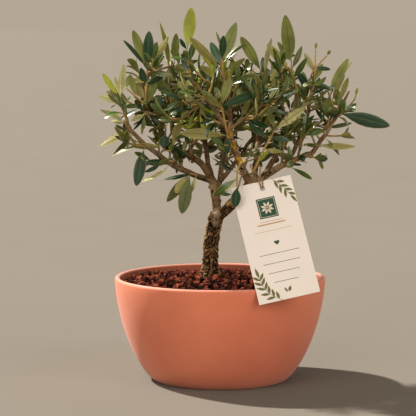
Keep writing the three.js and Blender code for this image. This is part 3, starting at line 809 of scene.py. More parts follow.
def bark_material(bark):
    """Plated bark: near black in the cracks and knot holes, partly darker bark and partly painted shade;
    grey and brown on the plates, paler on raised ridges, partly weathering and partly painted highlight;
    paler on the thin boughs.
    """
    skin = Skin("plated_bark", 0.85, 0.18)
    height, youth, grey, lichen = (skin.attribute(name) for name in BARK_VALUES)
    clouds = skin.clouds(85, 0.42, 0.6)
    speckle, relief = skin.grain(650, 1.8)
    weathered = skin.mix(clouds, bark.plate, bark.ridge)
    old = skin.mix(skin.faded(speckle, 0.6), weathered, toned(bark.plate, 0.5))
    aged = skin.mix(skin.faded(clouds, 0.5), bark.young, bark.grey)
    fresh = skin.mix(skin.map_range(speckle, 0.2, 1, 0, 0.85), aged, toned(bark.young, 0.4))
    both = skin.mix(youth, old, fresh)
    # Raised bark paler: partly weathering, partly a painted highlight on the ridges
    raised = skin.mix(skin.map_range(height, 0.75, 1, 0, 0.6), both, bark.ridge)
    streaked = skin.mix(speckle, toned(bark.grey, 0.6), bark.grey)
    patched = skin.mix(lichen, skin.mix(grey, raised, streaked), bark.lichen)
    # The crack colour in cracks and knot holes is partly their own, partly painted shade
    skin.paint(skin.mix(skin.map_range(height, 0.2, 0.62), bark.crack, patched))
    skin.bump(relief, 0.0005, 0.7)
    return skin.material


def twig_material(name, colour, dark):
    """Thin bark with soft clouds and a fine grain."""
    skin = Skin(name, 0.7, 0.3)
    speckle, relief = skin.grain(1800, 2)
    body = skin.mix(skin.clouds(120, 0.35, 0.7), colour, dark)
    skin.paint(skin.mix(skin.faded(speckle, 0.45), body, dark))
    skin.bump(relief, 0.0003, 0.6)
    return skin.material


def leaf_material(name, colour, edge, roughness, specular, veins, wax=0.0):
    """A leaf's skin: a plain tint that drifts a little from leaf to leaf, with a paler edge, partly the
    leaf's own margin and partly a painted rim highlight.
    """
    skin = Skin(name, roughness, specular)
    skin.inputs["Coat Weight"].default_value = wax
    skin.inputs["Coat Roughness"].default_value = 0.22
    tint = skin.mix(skin.clouds(70, 0.3, 0.7), toned(colour, 0.75), toned(colour, 1.3))
    on_leaf = skin.own_map()
    across = skin.put("SeparateXYZ", Vector=on_leaf).outputs["X"]
    from_middle = skin.compute("ABSOLUTE", skin.compute("SUBTRACT", across, 0.5))
    skin.paint(skin.mix(skin.map_range(from_middle, 0.4, 0.5, 0, 0.7), tint, edge))
    slanting = {"bands_direction": "DIAGONAL"}
    ribs = skin.put("TexWave", slanting, Vector=on_leaf, Scale=3.2, Distortion=1.5)
    skin.bump(ribs.outputs["Fac"], veins, 0.35)
    return skin.material


def paper_material(card):
    """Uncoated card stock."""
    skin = Skin("card_stock", 0.85, 0.2)
    speckle, relief = skin.grain(900, 1.2)
    clouds = skin.clouds(40, 0.3, 0.75)
    darker = toned(card.paper, 0.93)
    flecked = skin.mix(skin.faded(speckle, 0.5), card.paper, darker)
    skin.paint(skin.mix(skin.faded(clouds, 0.6), flecked, darker))
    skin.bump(relief, 0.00008, 0.5)
    return skin.material


def ink_material(name, colour):
    """Matte printing ink, a little worn."""
    skin = Skin(name, 0.75, 0.25)
    speckle, _ = skin.grain(1600, 1.5)
    skin.paint(skin.mix(skin.faded(speckle, 0.5), colour, toned(colour, 1.35, 0.02)))
    return skin.material


def jute_material(twine):
    """Hairy natural fibre, streaked along the strand."""
    skin = Skin("jute", 0.9, 0.2)
    around = skin.own_map()
    stretched = skin.put("Mapping", Vector=around, Scale=(6, 0.6, 1)).outputs[0]
    streaks, relief = skin.grain(2, 2.5, stretched)
    skin.paint(skin.mix(streaks, twine.jute_dark, twine.jute))
    skin.bump(relief, 0.0002, 0.7)
    return skin.material


# Bowl
def bowl_radius(bowl, z):
    """Outer radius of the bowl at a height."""
    upright = 1 - (1 - z / bowl.height) ** SIDE_CURVE
    return bowl.foot_radius + (bowl.mouth_radius - bowl.foot_radius) * upright**SIDE_SHOULDER


def bowl_inner_radius(bowl, z):
    """Radius of the bowl's inside, its wall measured square to the side."""
    step = 0.0005
    slope = (bowl_radius(bowl, z) - bowl_radius(bowl, z - step)) / step
    return bowl_radius(bowl, z) - bowl.wall * hypot(1, slope)


def bowl_profile(bowl):
    """Up the outside, over the rounded lip and down the inside, as (radius, height)."""
    lip_round = bowl.wall / 2
    lip_height = bowl.height - lip_round
    heights = lip_height * (np.arange(SIDE_RINGS) / SIDE_RINGS) ** SIDE_SPREAD
    profile = [(bowl_radius(bowl, z), float(z)) for z in heights]
    profile += arc((bowl_radius(bowl, lip_height) - lip_round, lip_height), lip_round, 0, 180, 12)
    corner_height = bowl.floor + CORNER_ROUND
    for z in np.linspace(lip_height, corner_height, SIDE_RINGS)[1:]:
        profile.append((bowl_inner_radius(bowl, z), float(z)))
    corner = (bowl_inner_radius(bowl, corner_height) - CORNER_ROUND, corner_height)
    return profile + arc(corner, CORNER_ROUND, 0, -90, 5)[1:]


class OLIVE_OT_bowl(Operator):
    """Turn the clay bowl"""

    bl_idname = "olive.bowl"
    bl_label = "Bowl"

    def execute(self, context):
        bowl = context.scene.olive_bowl
        shell = grow_rings("clay_bowl", bowl_profile(bowl), BOWL_SIDES)
        # Inside faces below the lip get the clay darkened as painted shade
        for face in shell.data.polygons:
            inward = face.normal.x * face.center.x + face.normal.y * face.center.y < 0
            face.material_index = int(inward and face.center.z < bowl.height - UNSHADED_LIP)
        clay = [clay_material(bowl, "fired_clay", (1, 1, 1)), clay_material(bowl, "damp_clay", INSIDE_SHADE_TONE)]
        finish_piece(shell, clay, ["bowl"], 40)
        return {"FINISHED"}


# Soil
def soil_height(bowl, radius):
    """Height of the soil, level at the wall and mounded to the trunk."""
    edge = bowl_inner_radius(bowl, SOIL_EDGE)
    share = smoothstep(0, 1, (edge - radius) / (edge - SOIL_CROWN_RADIUS))
    return SOIL_EDGE + (SOIL_CROWN - SOIL_EDGE) * share


def soil_bed(bowl, soil):
    """The soil under the clods, uneven on top."""
    profile = [(bowl_inner_radius(bowl, z) - SOIL_ROOM, z) for z in SOIL_SIDE]
    edge = bowl_inner_radius(bowl, SOIL_EDGE) - SOIL_ROOM
    for ring in range(SOIL_RINGS):
        radius = edge * (1 - ring / SOIL_RINGS)
        profile.append((radius, soil_height(bowl, radius)))
    bed = grow_rings("soil_bed", profile, SOIL_SIDES)
    for vertex in bed.data.vertices:
        if vertex.co.z > SOIL_EDGE - 0.001:
            rise = noise.noise(vertex.co * 130) + 0.6 * noise.noise(vertex.co * 420)
            vertex.co.z += soil.roughness * (rise - 2.4)
    return bed


def clod_shapes(subdivisions):
    """Lumpy clods to copy: ico spheres knocked out of round."""
    shapes = []
    for seed in range(CLOD_SHAPES):
        deselect()
        bpy.ops.mesh.primitive_ico_sphere_add(subdivisions=subdivisions, radius=1)
        clod = bpy.context.object
        bpy.ops.object.mode_set(mode="EDIT")
        bpy.ops.transform.vertex_random(offset=0.46, uniform=0.45, normal=0.4, seed=seed)
        bpy.ops.object.mode_set(mode="OBJECT")
        points = np.array([vertex.co for vertex in clod.data.vertices])
        faces = np.array([polygon.vertices for polygon in clod.data.polygons])
        shapes.append((points, faces))
        bpy.data.objects.remove(clod)
    return shapes


def spread_clods(draw, sizes, reach, room):
    """Places in the bowl for clods of these sizes, the biggest first, none too near another."""
    places, taken = np.zeros((0, 2)), np.zeros(0)
    for size in np.sort(sizes)[::-1]:
        for _ in range(CLOD_TRIES):
            radius = (reach - 0.7 * size) * sqrt(draw.uniform(0, 1))
            angle = draw.uniform(0, 2 * pi)
            place = np.array((radius * cos(angle), radius * sin(angle)))
            if np.all(distances(places, place) > room * (taken + size)):
                places = np.vstack([places, place])
                taken = np.append(taken, size)
                break
    return places, taken


def scatter_clods(bowl, soil, layer):
    """The clods of one layer as points, faces and a tint for each face: 0 dry, 1 damp, 2 dark."""
    draw = np.random.default_rng(5 + layer.count)
    shapes = clod_shapes(layer.subdivisions)
    reach = bowl_inner_radius(bowl, SOIL_EDGE) - CLOD_ROOM
    sizes = np.exp(layer.spread * np.clip(draw.normal(0, 1, layer.count), -2, 1.15))
    sizes *= soil.clod_radius * layer.size
    parts, tints = [], []
    for place, size in zip(*spread_clods(draw, sizes, reach, layer.room)):
        height = soil_height(bowl, norm(place)) - layer.depth * MM
        height += size * draw.uniform(-0.7, 0.4)
        turn = np.array(Euler(draw.uniform(0, 2 * pi, 3)).to_matrix())
        stretch = np.array([draw.uniform(*span) for span in CLOD_STRETCH])
        points, faces = shapes[draw.integers(len(shapes))]
        parts.append(((*place, height) + size * (points * stretch) @ turn.T, faces))
        tints.append(np.full(len(faces), draw.choice(3, p=layer.tints)))
    count = len(parts[0][0])
    points = np.concatenate([part[0] for part in parts])
    faces = np.concatenate([part[1] + count * index for index, part in enumerate(parts)])
    return points, faces, np.concatenate(tints)


def keep_dryness_and_shade(bowl, piece):
    """Keeps how dry the soil is at each vertex, by its height over the mound. Low down, the darkening that
    it gives is also painted shade.
    """
    places = [vertex.co for vertex in piece.data.vertices]
    above = (place.z - soil_height(bowl, place.xy.length) for place in places)
    keep_values(piece.data, "dry", [smoothstep(*DRY_AND_LIT_TOP, height) for height in above])


class OLIVE_OT_soil(Operator):
    """Fill the bowl with soil"""

    bl_idname = "olive.soil"
    bl_label = "Soil"

    def execute(self, context):
        bowl, soil = context.scene.olive_bowl, context.scene.olive_soil
        middle = tuple(0.17 * a + 0.83 * b for a, b in zip(soil.earth, soil.damp_earth_and_shade))
        dry = soil_material("dry_earth", soil.earth, middle)
        damp = soil_material("damp_earth", middle, soil.damp_earth_and_shade)
        # Near-black earth: painted shade for the bed and the gaps between the clods
        dark = soil_material("dark_earth", soil.damp_earth_and_shade, toned(soil.damp_earth_and_shade, 0.5))
        bed = soil_bed(bowl, soil)
        # The bed under the clods is painted shade
        finish_piece(bed, [dark], ["soil"], 60)
        keep_dryness_and_shade(bowl, bed)
        for layer in CLOD_LAYERS:
            clods = mesh_object(layer.name, *scatter_clods(bowl, soil, layer))
            finish_piece(clods, [dry, damp, dark], ["soil"], 26)
            keep_dryness_and_shade(bowl, clods)
        return {"FINISHED"}


# Trunk and boughs
def limb_path(limb):
    """Points along a limb from its start, and its radius at each."""
    count = max(8, round(limb.length * MM / LIMB_STEP))
    points = [Vector(limb.start) * MM]
    for step in range(count):
        part = (step + 0.5) / count
        level = radians(limb.heading + limb.turn * part)
        rise = radians(limb.rise + limb.lift * part)
        ahead = Vector((cos(rise) * cos(level), cos(rise) * sin(level), sin(rise)))
        points.append(points[-1] + ahead * (limb.length * MM / count))
    shares = np.linspace(0, 1, count + 1)
    radii = (limb.thick + (limb.thin - limb.thick) * shares) * MM
    if limb.name == "trunk":
        radii += FLARE * np.exp(-shares * limb.length * MM / FLARE_HEIGHT)
    return np.array(points), radii


def lengthened(limb, points, radii):
    """The limb's path with its foot sunk into its carrier and, in foliage, its tip tapered on."""
    back = points[0] - points[1]
    back /= norm(back)
    sink = [points[0] + back * LIMB_SINK * share for share in (1, 0.5)]
    points = np.concatenate([sink, points])
    radii = np.concatenate([[radii[0]] * 2, radii])
    if limb.open_end:
        ahead = points[-1] - points[-2]
        ahead /= norm(ahead)
        shares = np.linspace(0, 1, 9)[1:]
        points = np.concatenate([points, [points[-1] + ahead * LIMB_TAIL * share for share in shares]])
        radii = np.concatenate([radii, [radii[-1] * (1 - (1 - TAIL_TAPER) * share) for share in shares]])
    return points, radii


def limb_point(name, share):
    """The place, heading and radius so far along a limb."""
    points, radii = limb_path(next(limb for limb in LIMBS if limb.name == name))
    at = round(share * (len(points) - 1))
    return points[at], turned_frames(points)[0][at], radii[at]


def limb_surface(limb):
    """A limb as a tube that wanders and swells a little, fluted at the trunk's foot."""
    points, radii = lengthened(limb, *limb_path(limb))
    seed = Vector((7.3 * len(limb.name), 3.1 * limb.length, 0))
    count = len(points)
    for i in range(count):
        ends = sin(pi * i / (count - 1))
        sway = noise.noise_vector(Vector((i * LIMB_STEP / SWAY_LENGTH, 0, 0)) + seed)
        points[i] += np.array(sway) * SWAY * ends
    lengths = np.arange(count) * LIMB_STEP

    def uneven(ring, angle):
        around = Vector((cos(angle), sin(angle), 0)) * 1.1
        swell = 1 + SWELL * noise.noise(around + Vector((0, 0, lengths[ring] / SWELL_LENGTH)) + seed)
        if limb.name == "trunk":
            fluted = exp(-lengths[ring] / FLARE_HEIGHT) * FLUTE_DEPTH * sin(5 * angle + 0.6)
            swell += fluted + 0.05 * sin(3 * angle + lengths[ring] / 0.02)
        return swell

    return tube(points, radii, TRUNK_SIDES if limb.name == "trunk" else LIMB_SIDES, uneven)


def stub_surface(stub):
    """A short pruned stub, square to its limb."""
    foot, ahead, _ = limb_point(stub.limb, stub.share)
    out = np.array(facing(stub.facing))
    out = unit(out - ahead * np.dot(out, ahead)) + 0.25 * ahead
    path = [foot + out * stub.reach * MM * share for share in (0.2, 0.6, 0.9, 1.0)]
    radii = [stub.radius * MM * share for share in (1.25, 1.05, 1.0, 0.75)]
    return tube(path, radii, 10)


def limb_samples():
    """Every limb's points with their headings and radii, to look up what a bark point belongs to."""
    places, headings, radii = [], [], []
    for limb in LIMBS:
        points, thickness = lengthened(limb, *limb_path(limb))
        places.extend(points)
        headings.extend(turned_frames(points)[0])
        radii.extend(thickness)
    finder = KDTree(len(places))
    for index, place in enumerate(places):
        finder.insert(place, index)
    finder.balance()
    return finder, [Vector(heading) for heading in headings], radii


def bark_height(place, ahead, radius):
    """Height of the bark from 0 in a crack to 1 on a plate: long plates, broken crosswise."""
    foot = exp(-max(0, place.z - BARK_FOOT) / 0.02)
    plate = (0.0008 + 0.15 * radius) * (1 + 0.55 * foot)
    grain = place / plate
    grain += noise.noise_vector(grain * 0.55) * 0.6
    grain -= ahead * grain.dot(ahead) * (0.68 - 0.3 * foot)
    gaps, corners = noise.voronoi(grain)
    crack = smoothstep(0.0, 0.4, gaps[1] - gaps[0])
    tilt = noise.noise(corners[0] * 3.7)
    slope = (grain - corners[0]).dot(noise.noise_vector(corners[0] * 5.3))
    chips = noise.noise(grain * 3.1)
    return clamp(crack * (0.7 + 0.35 * tilt + 0.5 * slope) + 0.22 * chips)


def bark_roughness(place, radius):
    """How rough the bark is: most at the trunk's foot, least on thin boughs, and in patches."""
    foot = exp(-max(0, place.z - BARK_FOOT) / 0.035)
    patch = noise.noise(place / 0.011)
    return clamp(0.82 + 0.4 * foot + 0.5 * patch - 0.33 * smoothstep(0.0065, 0.002, radius), 0.38)


def patch_shares(place, patches):
    """How much smooth grey skin, lichen and knot hole a place on the bark has."""
    shares = np.zeros(3)
    for centre, patch in patches:
        distance = (place - centre).length / (patch.reach * MM)
        if distance < 1.5:
            near = smoothstep(1.0, 0.55, distance + 0.5 * noise.noise(place / 0.0022))
            shares = np.maximum(shares, near * np.array((patch.grey, patch.lichen, patch.hole)))
    return shares


def patch_places():
    """Each patch with its middle, on the skin of its limb."""
    found = []
    for patch in PATCHES:
        middle, _, radius = limb_point(patch.limb, patch.share)
        found.append((Vector(middle) + Vector(facing(patch.facing)) * radius, patch))
    return found


def carve_bark(piece, relief):
    """Pushes the skin in and out along its normals, and keeps what the material reads of it."""
    mesh = piece.data
    finder, headings, radii = limb_samples()
    patches = patch_places()
    heights, youth, grey, lichen = kept = np.zeros((4, len(mesh.vertices)))
    moved = np.zeros((len(mesh.vertices), 3))
    for index, vertex in enumerate(mesh.vertices):
        _, sample, _ = finder.find(vertex.co)
        radius = radii[sample]
        grey[index], lichen[index], hole = patch_shares(vertex.co, patches)
        rough = bark_roughness(vertex.co, radius) * (1 - 0.7 * grey[index])
        height = (1 - hole) * (1 - rough * (1 - bark_height(vertex.co, headings[sample], radius)))
        heights[index] = height
        youth[index] = clamp((OLD_RADIUS - radius) / YOUNG_SPAN)
        depth = clamp(relief * radius, *RELIEF_DEPTHS)
        lump = 0.06 * radius * noise.noise(vertex.co / 0.006)
        rise = depth * (height - 0.75) + lump - KNOT_DEPTH * hole
        moved[index] = vertex.co + vertex.normal * rise
    mesh.vertices.foreach_set("co", moved.ravel())
    for name, values in zip(BARK_VALUES, kept):
        keep_values(mesh, name, values)
    mesh.update()


class OLIVE_OT_bark(Operator):
    """Grow the trunk and the boughs in one skin of bark"""

    bl_idname = "olive.bark"
    bl_label = "Trunk and boughs"

    def execute(self, context):
        bark = context.scene.olive_bark
        limbs = [limb_surface(limb) for limb in LIMBS]
        stubs = [stub_surface(stub) for stub in STUBS]
        piece = mesh_object("bark", *joined(limbs + stubs))
        apply_modifier(piece, "REMESH", mode="VOXEL", voxel_size=bark.grain)
        apply_modifier(piece, "SMOOTH", factor=0.5, iterations=3)
        carve_bark(piece, bark.relief)
        finish_piece(piece, [bark_material(bark)], [limb.name for limb in LIMBS], 80)
        return {"FINISHED"}


# Crown. New twigs grow from the best placed point of the wood there is, and bear leaves in pairs.
LEAF_ROWS = np.array((0, 0.07, 0.15, 0.28, 0.43, 0.58, 0.73, 0.86, 0.95, 1))
LEAF_COLUMNS = np.array((-1, -0.55, -0.1, 0.1, 0.55, 1))
PETIOLE_SHARE = 0.07
LEAF_THICKNESS = 0.00022
MIDRIB_THICKNESS = 0.00028  # over the leaf's own, at its foot
TWIG_STEP = 0.0025
BACKWARD_COST = 0.8  # how much further off a point counts when it faces away from a twig's tip
CROWN_MIDDLE = np.array((-0.002, -0.006, 0.200))
LEAF_SEAT = 0.0065  # from a stem, within which a leaf of the outline is set on it
CARD_DEPTH = -0.055  # outline leaves in front of this lean to the viewer, clear of the card
SITE_TRIES = 14  # for a shoot's tip, in each cube of the spacing
TIP_DEPTH = 0.003  # of a shoot's tip inside its mass of foliage
TIP_COVER = 0.016  # outwards from a tip to where the crown's own outline may be
SHOOT_ROOM = 36 * MM  # between the highest tip of a shoot and the top of the plant
SHOULDER = (95 * MM, 284 * MM)  # x and z: no shoot's tip is both further right and higher
GAP_MIDDLE = Vector((0, 32, 270)) * MM  # of the gap between the front and back masses, which shoots fill
GAP_HALF = Vector((58, 22, 28)) * MM
CLEAR_LIMBS = ("trunk", "left_stem", "right_stem")
CLEAR_ROOM = 25 * MM  # that the tips of shoots keep from these limbs
SHOWN = ("centre_bough", "centre_left_bough", "centre_upper_bough", "top_centre")
SHOWN_ROOM = 2.5 * MM  # to each side of these limbs and shoots, clear of the leaves of sprays in front
SIGHT_RISE = tan(radians(CAMERA_PITCH))
LEAFY_LENGTH = (0.018, 0.034)  # of a spray's end that bears leaves
SPUR_GAP = 7 * MM
SPUR_ROOM = 15 * MM  # that spurs keep from the twine
SPUR_REACH = (0.011, 0.02)
SPURS_MISSING = 0.25
LEAVES_MISSING = 0.1
TINT_KEPT = 0.72  # share of a spray's leaves that have its own tint
OVERHANGS = (0.004, 0.007)  # out of the foliage: past the first a leaf is shorter, past the last left out
TWIG_THICKENING = 0.055 * MM**2  # of a twig's squared radius for each leaf that it carries
TWIG_LIMIT = 2.0 * MM
TIP_TAPER = 6 * MM

# Pairs of leaves down a shoot from its tip, the last for all that follow: sizes beside a middling leaf
# and how far they spread in degrees
PAIR_SIZES = (0.6, 0.9, 1, 1, 0.9)
PAIR_SPREADS = (14, 26, 34, 41, 48)

# Tints: the upper side, the midrib and the underside of a leaf, and how often a shoot has it
Tint = namedtuple("Tint", "upper rib under share")
TINTS = {
    "deep": Tint((0.0065, 0.034, 0.011), (0.03, 0.065, 0.012), (0.1, 0.11, 0.032), 0.28),
    "green": Tint((0.033, 0.068, 0.0065), (0.1, 0.13, 0.016), (0.162, 0.178, 0.045), 0.33),
    "olive": Tint((0.078, 0.09, 0.0095), (0.175, 0.165, 0.023), (0.255, 0.233, 0.07), 0.22),
    "sage": Tint((0.073, 0.097, 0.024), (0.18, 0.18, 0.058), (0.39, 0.37, 0.165), 0.14),
    "young": Tint((0.135, 0.17, 0.008), (0.27, 0.28, 0.033), (0.26, 0.29, 0.027), 0.03),
}

Growth = namedtuple("Growth", "seed spacing leaf_length leaf_width leaf_gap")
Twig = namedtuple("Twig", "points parent at young load")
Blade = namedtuple("Blade", "foot ahead face length width camber fold twist widest tint")


class Wood:
    """What new twigs can grow from: points of the limbs and of the twigs grown so far."""

    def __init__(self):
        self.places, self.headings, self.owners = [], [], []
        self.twigs = []
        for limb in LIMBS:
            points = limb_path(limb)[0]
            headings = turned_frames(points)[0]
            for i in range(ceil(limb.bare * len(points)), len(points), 2):
                self.add(points[i], headings[i])
            if limb.open_end:
                self.add(points[-1], headings[-1])

    def add(self, place, heading, owner=(None, 0)):
        """Adds a point, on a twig where an owner is given, and returns its index."""
        self.places.append(place)
        self.headings.append(heading)
        self.owners.append(owner)
        return len(self.places) - 1

    def nearest(self, target):
        """The point that a twig to the target best leaves from, near it and not facing away."""
        away = np.asarray(target) - np.array(self.places)
        distance = norm(away, axis=1) + 1e-6
        forward = np.einsum("ij,ij->i", away, np.array(self.headings)) / distance
        return int(np.argmin(distance * (1 + BACKWARD_COST * (1 - forward))))

    def grow(self, path, start, young_from):
        """Adds a twig along a path from one of the wood's points."""
        owner, at = self.owners[start]
        self.twigs.append(Twig(path, owner, at, young_from, np.zeros(len(path))))
        headings = turned_frames(path)[0]
        index = len(self.twigs) - 1
        for i in range(2, max(3, young_from), 2):
            if i < len(path):
                self.add(path[i], headings[i], (index, i))
        return index

    def radii(self, tip):
        """Each twig's radius from the leaves that it carries beyond each point."""
        loads = [twig.load.copy() for twig in self.twigs]
        for twig, load in zip(self.twigs[::-1], loads[::-1]):
            if twig.parent is not None:
                loads[twig.parent][twig.at] += load.sum()
        found = []
        for twig, load in zip(self.twigs, loads):
            carried = load[::-1].cumsum()[::-1]
            from_tip = np.concatenate([[0], step_lengths(twig.points)[::-1].cumsum()])[::-1]
            taper = 0.55 + 0.45 * np.minimum(1, from_tip / TIP_TAPER) + 0.22 * (load > 0)
            found.append(np.minimum(TWIG_LIMIT, np.sqrt(tip**2 + TWIG_THICKENING * carried)) * taper)
        return found


def bezier(a, b, c, d):
    """Evenly stepped points of a cubic curve."""
    length = norm(b - a) + norm(c - b) + norm(d - c)
    t = np.linspace(0, 1, max(4, round(length / TWIG_STEP)) + 1)[:, None]
    return (1 - t) ** 3 * a + 3 * t * (1 - t) ** 2 * b + 3 * t**2 * (1 - t) * c + t**3 * d


def stem_curve(points):
    """A curve from the first to the last of a stem's 2, 3 or 4 points. A middle one is on it."""
    if len(points) == 4:
        return bezier(*points)
    first, last = points[0], points[-1]
    if len(points) == 2:
        return bezier(first, first * 0.67 + last * 0.33, first * 0.33 + last * 0.67, last)
    bend = points[1] * 2 - (first + last) / 2
    return bezier(first, first + (bend - first) * 0.67, last + (bend - last) * 0.67, last)


def twig_path(wood, start, apex, heading, pull):
    """A twig that leaves the wood forwards and reaches its apex along its heading."""
    foot, leaving = wood.places[start], wood.headings[start]
    span = norm(apex - foot)
    out = unit(0.2 * leaving + unit(apex - foot))
    return bezier(foot, foot + out * 0.35 * span, apex - heading * min(pull, 0.55 * span), apex)


def point_on(path, distance_from_tip):
    """The place, heading and index so far back from a path's tip."""
    steps = step_lengths(path)[::-1].cumsum()
    back = int(np.searchsorted(steps, distance_from_tip))
    index = max(1, len(path) - 1 - back)
    return path[index], unit(path[index] - path[index - 1]), index


class Crown:
    """The plan of the crown: its twigs and leaves."""

    def __init__(self, growth):
        self.growth = growth
        self.draw = np.random.default_rng(growth.seed)
        self.wood = Wood()
        self.blades = []
        self.taken = []
        self.shown = [point for limb in LIMBS if limb.name in SHOWN for point in limb_path(limb)[0]]
        self.clear = np.concatenate([limb_path(limb)[0] for limb in LIMBS if limb.name in CLEAR_LIMBS])
        self.solids, self.boxes = {}, {}
        for name in FOLIAGE_NODES:
            mesh = frame["nodes"][name].data
            own_corners = [vertex.co.copy() for vertex in mesh.vertices]
            own_triangles = [tuple(polygon.vertices) for polygon in mesh.polygons]
            self.solids[name] = BVHTree.FromPolygons(own_corners, own_triangles)
            self.boxes[name] = [np.array(corner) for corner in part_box(name)]
        lump = bmesh.new()
        stretched = Matrix.LocRotScale(GAP_MIDDLE, None, GAP_HALF)
        bmesh.ops.create_icosphere(lump, subdivisions=3, radius=1, matrix=stretched)
        self.solids["gap"] = BVHTree.FromBMesh(lump)
        self.boxes["gap"] = [np.array(GAP_MIDDLE - GAP_HALF), np.array(GAP_MIDDLE + GAP_HALF)]
        lump.free()

    def outside(self, place, names=()):
        """How far a place is outside these of the foliage's solids, or all, or less than 0 inside."""
        least = inf
        for name in names or self.solids:
            near, normal, _, distance = self.solids[name].find_nearest(Vector(place))
            least = min(least, distance if (Vector(place) - near).dot(normal) > 0 else -distance)
        return least

    def pick_tint(self, shade):
        """A tint for a spray, the likelier dark the deeper in the crown it is."""
        if self.draw.uniform() < shade:
            return "deep" if self.draw.uniform() < 0.5 else "green"
        names = list(TINTS)
        return names[self.draw.choice(len(names), p=[TINTS[name].share for name in names])]

    def shade(self, place):
        """How much of the light the crown takes from a place: most inside and at the back, low down."""
        return clamp(-self.outside(place) / 0.02 + 6 * place[1] - 4 * (place[2] - 0.24), 0, 0.75)

    def add_blade(self, foot, ahead, face, length, width, tint, camber=None, fold=None):
        """Adds a leaf that faces square to its length. Its curves are drawn where none are given."""
        ahead = unit(ahead)
        face = unit(face - ahead * np.dot(face, ahead))
        camber = self.draw.normal(0.4, 0.5) if camber is None else camber
        fold = self.draw.normal(0.45, 0.3) if fold is None else fold
        twist = self.draw.normal(0, 0.45)
        widest = self.draw.uniform(0.45, 0.57) + (0.05 if width > 0.28 * length else 0)
        self.blades.append(Blade(foot, ahead, face, length, width, camber, fold, twist, widest, tint))

    def outline_shoot(self, shoot):
        """A shoot of the crown's outline, leaf by leaf."""
        depth = shoot.depth * MM
        paths = []
        for stem in shoot.stems:
            points = [np.array((x * MM, depth, z * MM)) for x, z in stem]
            start = self.wood.nearest(points[0])
            reach = twig_path(self.wood, start, points[0], unit(points[1] - points[0]), 0.012)
            path = np.concatenate([reach, stem_curve(points)[1:]])
            index = self.wood.grow(path, start, max(1, len(reach) - 3))
            self.wood.twigs[index].load[-1] += 1
            paths.append((path, index))
            self.taken.append(points[-1])
            if shoot.name in SHOWN:
                self.shown.extend(path)
        for leaf in shoot.leaves:
            self.outline_leaf(Leaf(*leaf), depth, paths)

    def outline_leaf(self, leaf, depth, paths):
        """One leaf of the outline, on the nearest stem or on a short twig of its own."""
        turn = radians(self.draw.normal(0, 16))
        if depth < CARD_DEPTH:
            turn = -abs(turn)
        foot = np.array((leaf.foot_x * MM, depth, leaf.foot_z * MM))
        tip = np.array((leaf.tip_x * MM, depth, leaf.tip_z * MM))
        tip[1] += norm(tip - foot) * tan(turn)
        best = None
        for path, index in paths:
            gaps = distances(path, foot)
            at = int(np.argmin(gaps))
            if gaps[at] < LEAF_SEAT and (best is None or gaps[at] < best[0]):
                best = (gaps[at], path[at], index, at)
        if best:
            _, foot, index, at = best
            self.wood.twigs[index].load[at] += 1
        else:
            start = self.wood.nearest(foot)
            if norm(self.wood.places[start] - foot) > 0.001:
                path = twig_path(self.wood, start, foot, unit(tip - foot), 0.006)
                index = self.wood.grow(path, start, max(1, len(path) - 4))
                self.wood.twigs[index].load[-1] += 1
        ahead = tip - foot
        width = max(leaf.wide, min(7.5, 0.26 * norm(ahead) / MM)) * MM
        roll = acos(clamp(leaf.wide * MM / width, 0.25)) * self.draw.choice((-1, 1))
        toward = Vector((0, -1 if leaf.side == "upper" else 1, 0))
        face = np.array(Matrix.Rotation(roll, 3, Vector(unit(ahead))) @ toward)
        camber = self.draw.normal(0.25, 0.15)
        length = norm(ahead) * (1 + camber**2 / 24)
        aim = unit(ahead) + unit(face) * tan(camber / 2)
        self.add_blade(foot, aim, face, length, 1.03 * width, leaf.tint, camber, 0.22)
        self.taken.append(foot + ahead / 2)

    def free(self, place, name):
        """Whether a shoot's tip can be at a place in one of the foliage's solids."""
        high = place[2] > CAD_BOX[1][2] - SHOOT_ROOM or place[0] > SHOULDER[0] and place[2] > SHOULDER[1]
        if high or self.outside(place, [name]) > -TIP_DEPTH:
            return False
        if np.min(distances(self.clear, place)) < CLEAR_ROOM:
            return False
        outward = unit(unit(place - CROWN_MIDDLE) + 0.3 * UP)
        return self.outside(place + outward * TIP_COVER) <= 0.001

    def sites(self):
        """Tips of the other shoots: inside the foliage, a spacing apart, those nearest the wood first."""
        spacing = self.growth.spacing
        found, taken = [], list(self.taken)
        for name, (low, high) in self.boxes.items():
            volume = float(np.prod(high - low))
            for _ in range(int(volume / spacing**3 * SITE_TRIES)):
                place = self.draw.uniform(low, high)
                if self.free(place, name) and np.min(distances(taken, place)) >= spacing:
                    taken.append(place)
                    found.append(place)
        reach = [np.min(distances(self.wood.places, place)) for place in found]
        return [found[i] for i in np.argsort(reach)]

    def spray(self, apex):
        """A leafy shoot from the wood to an apex."""
        lift = 0.85 * smoothstep(0.205, 0.262, apex[2]) - 0.25
        heading = unit(unit(apex - CROWN_MIDDLE) + lift * UP + self.draw.normal(0, 0.26, 3))
        start = self.wood.nearest(apex - heading * 0.012)
        heading = unit(heading + 0.6 * unit(apex - self.wood.places[start]))
        path = twig_path(self.wood, start, apex, heading, 0.02)
        leafy = self.draw.uniform(*LEAFY_LENGTH)
        self.leafy_twig(path, start, leafy, self.growth.leaf_length * self.draw.uniform(0.86, 1.12))

